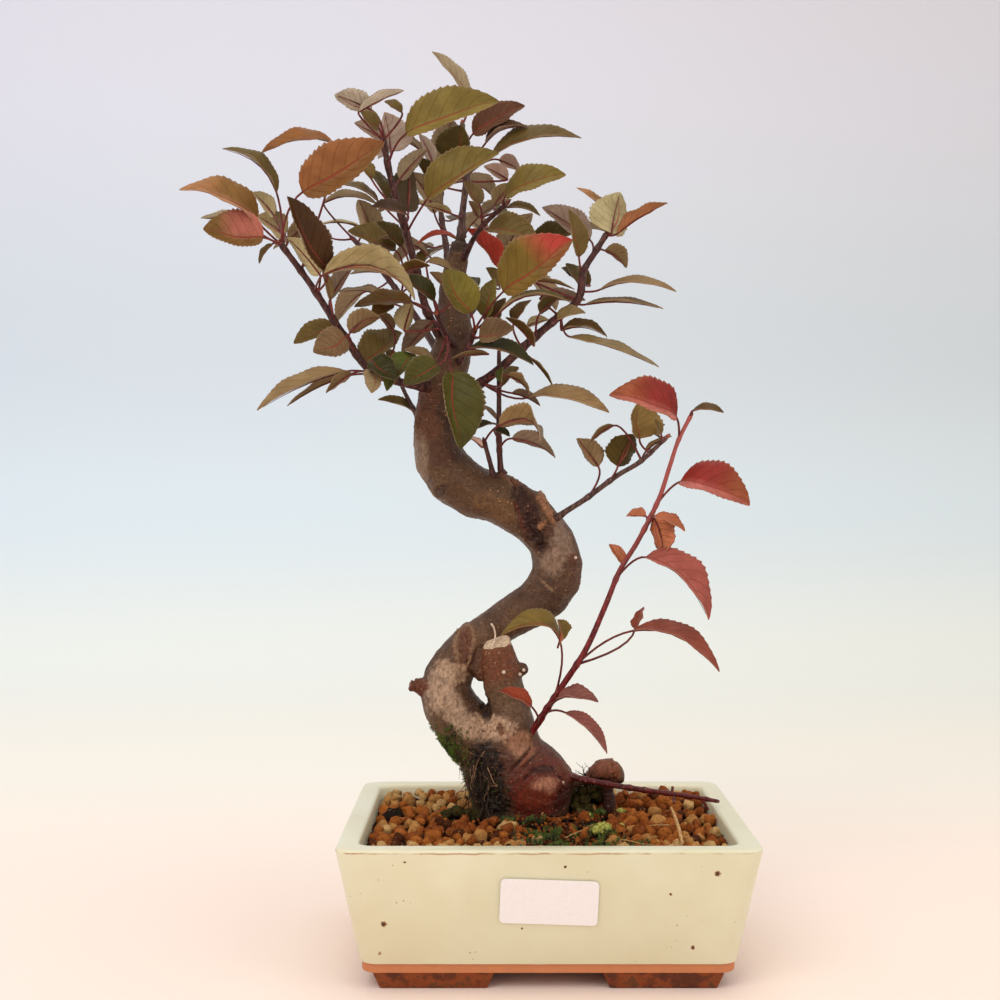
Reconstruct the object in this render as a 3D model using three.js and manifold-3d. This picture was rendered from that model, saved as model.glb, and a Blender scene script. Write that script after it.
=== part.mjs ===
// Apple bonsai in a glazed rectangular pot: an S-shaped trunk on a flared root base, a second
// cut trunk, leafy stems that stand on short collars of the trunk, granular soil and the pot.
// Millimetres, +Z up, the pot's long side along X, the tree seen from -Y.
import * as THREE from 'three';
import { mergeVertices } from 'three/addons/utils/BufferGeometryUtils.js';
import Module from 'manifold-3d';

const wasm = await Module();
wasm.setup();

// Driving dimensions
const seatGap = 0.3;            // slit between neighbouring pieces
const potTop = { x: 90, y: 67 };           // half sizes at the rim
const potLean = { x: 9.5, y: 10.4 };        // how far the walls lean in down to the band
const potHeight = 62;
const footHeight = 7.4;
const bandHeight = 4;           // unglazed band between feet and glaze
const wallThickness = 9.5;
const floorTop = 17;            // inside bottom of the pot
const rimRound = 1.8;
const potCorner = 8;
const bandInset = 1;            // the band stands back from the glaze
const innerLean = 6;            // how far the inner walls stand in from the foot of the outer
const innerCurve = 4;           // round between the inner walls and the floor
const foot = { from: 22.5, inset: 5.5, front: 1.5, bar: 13, arm: 32.5, taper: 3.4 };
const drainHole = { x: 40, radius: 9 };
const screenSize = { side: 26, thick: 1.2, bar: 2.4, cells: 2 };
const labelSize = { x: 41, z: 20, thick: 0.5, corner: 2 };
const labelCentre = { x: -0.1, z: 39.7, turn: -2 };
const soilTop = 57;
const granule = { pitch: 11, relief: 2.5, stray: 1.3 };
const treeDepth = 18;           // the tree stands this far behind the middle of the pot
const plug = { x: -10.5, y: treeDepth, rx: 23, ry: 13.5, bottom: 36 };
const leafThickness = 1.2;      // at the rib, running out to the toothed edge
const notchDepth = 0.13;        // of a blade's half width, between two teeth
const leafFold = 22;            // degrees that each half of a blade is raised
const petioleHalf = 0.55;
const collarReach = 3;          // how far a stem's collar stands out of the bark

// The place of the eye that the tree's front is laid out for. Points of the trunk, the stems
// and the leaves are given as they show from there on the plane y = 0, and then moved along
// the line of sight to their depth y behind the tree's own plane.
const eye = new THREE.Vector3(-21, -630, 213);

function seen([x, z, y]) {
  const onPlane = new THREE.Vector3(x, 0, z);
  return onPlane.sub(eye).multiplyScalar(1 + (y + treeDepth) / -eye.y).add(eye);
}

// A generator of its own for each use, so that one use doesn't change another.
function randomFrom(seed) {
  let state = seed;
  return () => {
    state = (state * 16807) % 2147483647;
    return state / 2147483647;
  };
}

// Solids and meshes

function geometryOf(points, triangles) {
  const geometry = new THREE.BufferGeometry();
  const flat = points.flatMap((p) => [p.x, p.y, p.z]);
  geometry.setAttribute('position', new THREE.Float32BufferAttribute(flat, 3));
  geometry.setIndex(triangles.flat());
  return geometry;
}

function solidOf(geometry) {
  const bare = geometry.clone();
  bare.deleteAttribute('normal');
  bare.deleteAttribute('uv');
  const merged = mergeVertices(bare, 1e-4);
  const vertProperties = new Float32Array(merged.attributes.position.array);
  const triVerts = new Uint32Array(merged.index.array);
  return new wasm.Manifold(new wasm.Mesh({ numProp: 3, vertProperties, triVerts }));
}

function geometryFrom(solid) {
  const mesh = solid.getMesh();
  const geometry = new THREE.BufferGeometry();
  geometry.setAttribute('position', new THREE.BufferAttribute(mesh.vertProperties, 3));
  geometry.setIndex(new THREE.BufferAttribute(mesh.triVerts, 1));
  return geometry;
}

// Solids fused into one body. A hollow that the fusing seals is a shell of its own, and is
// filled by keeping the outer shell alone.
function joined(solids) {
  const fused = solids.reduce((whole, next) => whole.add(next)).asOriginal();
  return fused.decompose().reduce((most, shell) => (shell.volume() > most.volume() ? shell : most));
}

// A closed body through rings of equal point count, each ring convex, with flat ends.
function loft(rings) {
  const count = rings[0].length;
  const last = (rings.length - 1) * count;
  const triangles = [];
  for (let k = 0; k + 1 < rings.length; k += 1) {
    for (let i = 0; i < count; i += 1) {
      const a = k * count + i;
      const b = k * count + (i + 1) % count;
      triangles.push([a, b, b + count], [a, b + count, a + count]);
    }
  }
  for (let i = 1; i + 1 < count; i += 1) {
    triangles.push([0, i + 1, i], [last, last + i, last + i + 1]);
  }
  return solidOf(geometryOf(rings.flat(), triangles));
}

function ellipseRing(x, y, z, rx, ry, sides) {
  return Array.from({ length: sides }, (_, i) => {
    const angle = (i / sides) * 2 * Math.PI;
    return new THREE.Vector3(x + rx * Math.cos(angle), y + ry * Math.sin(angle), z);
  });
}

function roundedRing(halfX, halfY, z, corner) {
  const turns = 3;
  const ring = [];
  [[1, 1], [-1, 1], [-1, -1], [1, -1]].forEach(([sx, sy], quarter) => {
    for (let i = 0; i <= turns; i += 1) {
      const angle = (quarter + i / turns) * Math.PI / 2;
      const x = sx * (halfX - corner) + corner * Math.cos(angle);
      const y = sy * (halfY - corner) + corner * Math.sin(angle);
      ring.push(new THREE.Vector3(x, y, z));
    }
  });
  return ring;
}

function smooth(points) {
  return new THREE.CatmullRomCurve3(points, false, 'centripetal');
}

// A tube round the rail, which is a list of centres and directions, its radius passing
// through radii.
function limb(rail, radii, sides) {
  let normal = new THREE.Vector3(0, 1, 0);
  const rings = rail.map(({ centre, along }, k) => {
    normal = normal.clone().addScaledVector(along, -normal.dot(along)).normalize();
    const side = new THREE.Vector3().crossVectors(along, normal);
    const place = (k / (rail.length - 1)) * (radii.length - 1);
    const from = Math.min(Math.floor(place), radii.length - 2);
    const radius = THREE.MathUtils.lerp(radii[from], radii[from + 1], place - from);
    return Array.from({ length: sides }, (_, i) => {
      const angle = (i / sides) * 2 * Math.PI;
      return centre.clone()
        .addScaledVector(normal, radius * Math.cos(angle))
        .addScaledVector(side, radius * Math.sin(angle));
    });
  });
  return loft(rings);
}

// The rail along a whole curve, each of its points getting the same number of steps.
function railOf(points, steps) {
  const curve = smooth(points);
  return Array.from({ length: steps + 1 }, (_, k) => (
    { centre: curve.getPoint(k / steps), along: curve.getTangent(k / steps) }
  ));
}

// The rail along part of a path, measured by its length.
function stretch(path, from, to) {
  const count = Math.max(1, Math.ceil(path.getLength() * (to - from) / 14));
  return Array.from({ length: count + 1 }, (_, k) => {
    const at = Math.min(1, from + (to - from) * k / count);
    return { centre: path.getPointAt(at), along: path.getTangentAt(at) };
  });
}

// Pot

function makePot() {
  const bandTop = footHeight + bandHeight;
  const base = { x: potTop.x - potLean.x, y: potTop.y - potLean.y };
  const inner = { x: potTop.x - wallThickness, y: potTop.y - wallThickness };
  const innerBase = { x: base.x - innerLean, y: base.y - innerLean };
  const shell = loft([
    roundedRing(base.x - bandInset, base.y - bandInset, footHeight, potCorner),
    roundedRing(base.x - bandInset * 0.8, base.y - bandInset * 0.8, bandTop, potCorner),
    roundedRing(base.x, base.y, bandTop, potCorner),
    roundedRing(potTop.x, potTop.y, potHeight - rimRound, potCorner),
    roundedRing(potTop.x - rimRound, potTop.y - rimRound, potHeight, potCorner),
    roundedRing(inner.x + rimRound, inner.y + rimRound, potHeight, potCorner + 1),
    roundedRing(inner.x, inner.y, potHeight - rimRound, potCorner + 1),
    roundedRing(innerBase.x, innerBase.y, floorTop + innerCurve, potCorner + 3),
    roundedRing(innerBase.x - innerCurve, innerBase.y - innerCurve, floorTop, potCorner + 1),
  ]);
  const outer = { x: base.x - foot.inset, y: base.y - foot.front };
  const feet = [];
  for (const sx of [-1, 1]) {
    for (const sy of [-1, 1]) {
      feet.push(footBar(sx, sy, [foot.from, outer.x], [outer.y - foot.bar, outer.y]));
      feet.push(footBar(sx, sy, [outer.x - foot.bar, outer.x], [outer.y - foot.arm, outer.y]));
    }
  }
  let pot = joined([shell, ...feet]);
  for (const sx of [-1, 1]) {
    const hole = new THREE.CylinderGeometry(drainHole.radius, drainHole.radius, 30, 16);
    hole.rotateX(Math.PI / 2).translate(sx * drainHole.x, 0, floorTop);
    pot = pot.subtract(solidOf(hole));
  }
  return pot;
}

// One bar of an L-shaped corner foot, narrower at the floor.
function footBar(sx, sy, spanX, spanY) {
  const { taper } = foot;
  const rings = [[taper, 0], [taper * 0.4, footHeight * 0.6], [0, footHeight + 1]].map(([inset, z]) => {
    const x = [spanX[0] + inset, spanX[1] - inset];
    const y = [spanY[0] + inset * 0.6, spanY[1] - inset * 0.6];
    const ring = [[x[0], y[0]], [x[1], y[0]], [x[1], y[1]], [x[0], y[1]]];
    return ring.map(([px, py]) => new THREE.Vector3(sx * px, sy * py, z));
  });
  return loft(sx * sy > 0 ? rings : rings.map((ring) => ring.reverse()));
}

// A square of plastic mesh over a drain hole, its bars crossing in one plane.
function makeScreen(x) {
  const { side, thick, bar, cells } = screenSize;
  const bars = [];
  for (let i = 0; i <= cells; i += 1) {
    const place = (side - bar) * (i / cells - 0.5);
    const lengthwise = new THREE.BoxGeometry(side, bar, thick).translate(0, place, 0);
    const across = new THREE.BoxGeometry(bar, side, thick).translate(place, 0, 0);
    bars.push(solidOf(lengthwise), solidOf(across));
  }
  return joined(bars).translate(x, 0, floorTop + seatGap + thick / 2);
}

// The blank paper label lies on the leaning front wall.
function makeLabel() {
  const { x, z, thick, corner } = labelSize;
  const ring = roundedRing(x / 2, z / 2, 0, corner);
  const top = ring.map((p) => p.clone().setZ(thick));
  const lean = Math.atan2(potLean.y, potHeight - rimRound - footHeight - bandHeight);
  const wallAt = potTop.y - Math.tan(lean) * (potHeight - rimRound - labelCentre.z);
  const geometry = geometryFrom(loft([ring, top]));
  geometry.rotateZ(THREE.MathUtils.degToRad(labelCentre.turn));
  geometry.rotateX(Math.PI / 2 + lean);
  geometry.translate(labelCentre.x, -wallAt - seatGap / Math.cos(lean), labelCentre.z);
  return solidOf(geometry);
}

// Tree: the trunk

// Across, up, depth and radius along the trunk, from its cut top down to the root base.
const trunkLine = [
  [-38.6, 325.5, 2, 4.4], [-41.4, 313, 2, 5.6], [-42.7, 299, 1, 6.7], [-41, 283, 0, 8.8],
  [-45, 266.7, -1, 10.1], [-49.2, 250.5, -2, 9.8], [-50.1, 234.3, -3, 10.9],
  [-46.6, 221.8, -3, 12.6], [-34.6, 211, -3, 12.7], [-23.3, 208, -2, 11.9],
  [-12.5, 202.5, 0, 11.9], [1.5, 190.5, 3, 11], [6.3, 177.5, 5, 12.3],
  [4, 167.2, 5, 12.4], [-3.4, 159.3, 5, 11], [-12.7, 153.8, 5, 10.2],
  [-20.1, 149.2, 6, 9.5], [-31.2, 141.3, 6, 9.6], [-38.3, 134.8, 5, 10.2],
  [-43, 127.9, 4, 11.2], [-46, 119.6, 3, 12.2], [-43.4, 111.2, 2, 13],
  [-37.5, 103.5, 1, 13.8], [-28, 94, 0, 15], [-16, 82, 0, 16],
];

// Height, centre x, centre y and half widths of the flared root base, from the top down.
const baseRings = [
  [99, -26, 18, 11, 10], [94, -22.5, 18, 18.5, 14.5], [87, -17, 18, 23.5, 16.5],
  [79, -13, 18, 26, 17], [72, -11, 18, 26, 16.5], [65, -10.5, 18, 24.5, 15],
  [60, -10.5, 18, 23, 13.5],
];

function trunkLimb() {
  const points = trunkLine.map(([x, z, y]) => seen([x, z, y]));
  const radii = trunkLine.map((row) => row[3]);
  return limb(railOf(points, 32), radii, 12);
}

// How far a point is from the bark, negative inside the wood.
function outOfBark(point) {
  const points = trunkLine.map(([x, z, y]) => seen([x, z, y]));
  const curve = smooth(points);
  const steps = 96;
  let nearest = Infinity;
  for (let k = 0; k <= steps; k += 1) {
    const place = (k / steps) * (trunkLine.length - 1);
    const from = Math.min(Math.floor(place), trunkLine.length - 2);
    const radius = THREE.MathUtils.lerp(trunkLine[from][3], trunkLine[from + 1][3], place - from);
    nearest = Math.min(nearest, curve.getPoint(k / steps).distanceTo(point) - radius);
  }
  for (const [z, x, y, rx, ry] of baseRings) {
    const out = new THREE.Vector3((point.x - x) / rx, (point.y - y) / ry, (point.z - z) / ry);
    nearest = Math.min(nearest, (out.length() - 1) * ry);
  }
  return nearest;
}

// The cut second trunk, the callus that joins it to the main one, and two short cut knobs.
const secondTrunk = {
  line: [[-14, 90, 0], [-16.8, 104.8, -4], [-18.2, 116.3, -6], [-20.1, 127, -8], [-22.4, 140, -9]],
  radii: [14, 12, 9.9, 9.2, 6.9],
};
const callus = {
  line: [[-30.5, 140, 3], [-30, 133, 0], [-29.5, 126.5, -1], [-29, 123, -1]],
  radii: [5, 5, 4, 2.5],
};
const leftKnob = { line: [[-46, 120, 2], [-55, 120.5, 1], [-62, 120.7, 0]], radii: [7, 4.2, 2.6] };
const rightKnob = { line: [[-16, 126.5, -7], [-11, 128, -9], [-8, 128.8, -9]], radii: [4, 3.2, 2.4] };

function makeTrunk(collars) {
  const base = baseRings.map(([z, x, y, rx, ry]) => ellipseRing(x, y, z, rx, ry, 16));
  base.push(ellipseRing(plug.x, plug.y, plug.bottom, plug.rx, plug.ry, 16));
  const second = limb(railOf(secondTrunk.line.map(seen), 12), secondTrunk.radii, 10);
  const left = limb(railOf(leftKnob.line.map(seen), 3), leftKnob.radii, 8);
  const right = limb(railOf(rightKnob.line.map(seen), 2), rightKnob.radii, 7);
  const join = limb(railOf(callus.line.map(seen), 3), callus.radii, 7);
  const loop = limb(railOf(rootLoop.line.map(seen), 10), rootLoop.radii, 8);
  const { x, y, bottom } = rootFoot;
  const foot = [bottom + 10, bottom].map((z) => new THREE.Vector3(x, y, z));
  const leg = limb(railOf([...rootLeg.line.map(seen), ...foot], 6), rootLeg.radii, 7);
  return joined([trunkLimb(), loft(base.reverse()), second, join, left, right, loop, leg, ...collars]);
}

// An old root that swells beside the trunk, with a leg that goes straight down into the soil.
const rootFoot = { x: 31.8, y: 20, radius: 3, bottom: 46 };
const rootLoop = {
  line: [
    [4, 77, 2], [13, 75.6, 2], [17.5, 76, 2.5], [21, 78.2, 2.5], [25.5, 81.4, 2], [30.4, 82.3, 2],
    [33.4, 79, 2], [34, 75, 2],
  ],
  radii: [3, 2.2, 2, 3, 4.6, 5.3, 4.9, 3.4],
};
const rootLeg = { line: [[27.5, 80, 2], [28.6, 73, 2], [30.2, 68, 2]], radii: [3.4, 3, 3, 2.9, 2.9] };

// Soil: a bed that fills the pot, its top raised into granules, with plain holes for the roots.
function makeSoil(screens) {
  const wall = (z) => {
    const rise = (z - floorTop - innerCurve) / (potHeight - rimRound - floorTop - innerCurve);
    const base = { x: potTop.x - potLean.x - innerLean, y: potTop.y - potLean.y - innerLean };
    const halfX = THREE.MathUtils.lerp(base.x, potTop.x - wallThickness, rise);
    const halfY = THREE.MathUtils.lerp(base.y, potTop.y - wallThickness, rise);
    const corner = THREE.MathUtils.lerp(potCorner + 3.4, potCorner + 1.4, rise);
    return roundedRing(halfX - seatGap - 0.1, halfY - seatGap - 0.1, z, corner);
  };
  const low = wall(floorTop + innerCurve + 0.2);
  const bottom = low.map((p) => new THREE.Vector3(p.x * 0.935, p.y * 0.9, floorTop + seatGap));
  const bed = loft([bottom, low, wall(potHeight)]);
  let soil = bed.intersect(granuleField());
  const hole = [plug.bottom - seatGap, potHeight + 5].map((z) =>
    ellipseRing(plug.x, plug.y, z, plug.rx + seatGap + 0.5, plug.ry + seatGap + 0.5, 16));
  soil = soil.subtract(loft(hole));
  const rootHole = [rootFoot.bottom - seatGap, potHeight + 5].map((z) =>
    ellipseRing(rootFoot.x, rootFoot.y, z, rootFoot.radius + 0.9, rootFoot.radius + 0.9, 9));
  soil = soil.subtract(loft(rootHole));
  for (const x of screens) {
    const pocket = screenSize.side / 2 + seatGap;
    const box = new THREE.BoxGeometry(pocket * 2, pocket * 2, 10);
    box.translate(x, 0, floorTop + seatGap * 2 + screenSize.thick - 5);
    soil = soil.subtract(solidOf(box));
  }
  return soil;
}

// A slab whose top is a field of six-sided hills on a staggered grid, one hill for a granule.
function granuleField() {
  const random = randomFrom(7);
  const { pitch, relief, stray } = granule;
  const rowPitch = pitch * Math.sqrt(3) / 2;
  const columns = Math.ceil(potTop.x / pitch) + 1;
  const rows = Math.ceil(potTop.y / rowPitch) + 1;
  const points = [];
  const index = new Map();
  const vertex = (key, x, y, height) => {
    if (!index.has(key)) {
      index.set(key, points.length);
      const dx = (random() - 0.5) * 2 * stray;
      const dy = (random() - 0.5) * 2 * stray;
      points.push(new THREE.Vector3(x + dx, y + dy, soilTop + height * (0.6 + 0.6 * random())));
    }
    return index.get(key);
  };
  const triangles = [];
  const edges = new Map();
  for (let j = -rows; j <= rows; j += 1) {
    for (let i = -columns; i <= columns; i += 1) {
      const x = (i + (Math.abs(j) % 2) / 2) * pitch;
      const y = j * rowPitch;
      const hill = vertex(`${i},${j}`, x, y, relief);
      const rim = Array.from({ length: 6 }, (_, k) => {
        const angle = (k + 0.5) * Math.PI / 3;
        const vx = x + (pitch / Math.sqrt(3)) * Math.cos(angle);
        const vy = y + (pitch / Math.sqrt(3)) * Math.sin(angle);
        return vertex(`v${Math.round(vx * 4)},${Math.round(vy * 4)}`, vx, vy, -relief * 0.5);
      });
      rim.forEach((from, k) => {
        const to = rim[(k + 1) % 6];
        triangles.push([hill, from, to]);
        edges.set(`${from},${to}`, [from, to]);
      });
    }
  }
  const under = points.length;
  const lowered = points.map((p) => new THREE.Vector3(p.x, p.y, 0));
  const walls = [];
  for (const [from, to] of edges.values()) {
    if (!edges.has(`${to},${from}`)) {
      walls.push([from, from + under, to + under], [from, to + under, to]);
    }
  }
  const underside = triangles.map(([a, b, c]) => [a + under, c + under, b + under]);
  return solidOf(geometryOf([...points, ...lowered], [...triangles, ...underside, ...walls]));
}

// Tree: leaves

// Half width of a blade along its rib, 1 at the widest.
function bladeProfile(s) {
  return 2.6 * s ** 0.6 * (1 - s) ** 0.8;
}

// The direction that the upper side of a blade faces: at 0 degrees the eye, at 90 the sky and
// at 180 away from the eye, so that the underside shows.
function facing(base, tip, face) {
  const axis = tip.clone().sub(base).normalize();
  const toEye = eye.clone().sub(base).normalize();
  const front = toEye.addScaledVector(axis, -toEye.dot(axis)).normalize();
  const skyward = new THREE.Vector3().crossVectors(axis, front);
  if (skyward.z < 0) skyward.negate();
  const turn = THREE.MathUtils.degToRad(face);
  return front.multiplyScalar(Math.cos(turn)).addScaledVector(skyward, Math.sin(turn));
}

// A leaf as one body: a square petiole from its root on the stem, and a folded, arched blade
// with forward teeth, split into triangles alike on both faces.
function leafSolid(root, base, tip, width, up, arch) {
  const axis = tip.clone().sub(base);
  const length = axis.length();
  axis.normalize();
  const side = new THREE.Vector3().crossVectors(axis, up);
  const control = base.clone().addScaledVector(axis, length * 0.45).addScaledVector(up, 2 * arch * length);
  const rib = new THREE.QuadraticBezierCurve3(base, control, tip);
  const fold = THREE.MathUtils.degToRad(leafFold);

  const points = [];
  const point = (s, offset, lift) => {
    const normal = new THREE.Vector3().crossVectors(side, rib.getTangent(s)).normalize();
    points.push(rib.getPoint(s)
      .addScaledVector(side, offset * Math.cos(fold))
      .addScaledVector(normal, Math.abs(offset) * Math.sin(fold) + lift));
    return points.length - 1;
  };

  const teeth = [38, 29, 16].filter((mark) => length > mark).length + 2;
  const end = point(1, 0, 0);
  const ribChain = [0, 0.25, 0.65].map((s) => {
    const half = s === 0 ? petioleHalf * 0.85 : leafThickness / 2;
    return { s, upper: point(s, 0, half), lower: point(s, 0, -half) };
  });
  ribChain.push({ s: 1, upper: end, lower: end });
  const [right, left] = [1, -1].map((hand) => {
    const chain = [{ s: 0, edge: point(0, hand * petioleHalf, 0) }];
    for (let k = 0; k < teeth; k += 1) {
      const tooth = (k + 0.78) / teeth;
      const notch = (k + 0.9) / teeth;
      chain.push({ s: tooth, edge: point(tooth, hand * width * length * bladeProfile(tooth), 0) });
      if (k + 1 < teeth) {
        const depth = notchDepth * width * length;
        const reach = width * length * bladeProfile(notch) - depth;
        chain.push({ s: notch, edge: point(notch, hand * reach, 0) });
      }
    }
    chain.push({ s: 1, edge: end });
    return chain;
  });

  const triangles = [];
  const faces = (hand, edge, rib0, next) => {
    const upper = [edge.edge, next.edge ?? next.upper, rib0.upper];
    const lower = [edge.edge, next.edge ?? next.lower, rib0.lower];
    triangles.push(hand > 0 ? upper : upper.reverse());
    triangles.push(hand > 0 ? lower.reverse() : lower);
  };
  for (const [hand, chain] of [[1, right], [-1, left]]) {
    let e = 0;
    let r = 0;
    while (e + 2 < chain.length || r + 2 < ribChain.length) {
      const edgeNext = chain[e + 1].s;
      const ribNext = ribChain[r + 1].s;
      if (r + 2 >= ribChain.length || (e + 2 < chain.length && edgeNext <= ribNext)) {
        faces(hand, chain[e], ribChain[r], chain[e + 1]);
        e += 1;
      } else {
        faces(hand, chain[e], ribChain[r], ribChain[r + 1]);
        r += 1;
      }
    }
    faces(hand, chain[e], ribChain[r], chain[e + 1]);
  }

  // The petiole runs back from the blade's base to the root on the stem.
  const start = rib.getTangent(0);
  const span = root.distanceTo(base);
  const bend = base.clone().addScaledVector(start, -0.5 * span);
  const petiole = new THREE.QuadraticBezierCurve3(base, bend, root);
  const steps = span > 9 ? 2 : 1;
  const baseUp = new THREE.Vector3().crossVectors(side, start).normalize();
  let ring = [right[0].edge, ribChain[0].upper, left[0].edge, ribChain[0].lower];
  for (let k = 1; k <= steps; k += 1) {
    const along = petiole.getTangent(k / steps).negate();
    const roll = new THREE.Quaternion().setFromUnitVectors(start, along);
    const across = side.clone().applyQuaternion(roll);
    const above = baseUp.clone().applyQuaternion(roll);
    const centre = petiole.getPoint(k / steps);
    const next = [[1, 0], [0, 0.9], [-1, 0], [0, -0.9]].map(([h, v]) => {
      points.push(centre.clone()
        .addScaledVector(across, h * petioleHalf)
        .addScaledVector(above, v * petioleHalf));
      return points.length - 1;
    });
    for (let i = 0; i < 4; i += 1) {
      const j = (i + 1) % 4;
      triangles.push([ring[i], ring[j], next[j]], [ring[i], next[j], next[i]]);
    }
    ring = next;
  }
  triangles.push([ring[0], ring[1], ring[2]], [ring[0], ring[2], ring[3]]);
  return solidOf(geometryOf(points, triangles));
}

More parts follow.
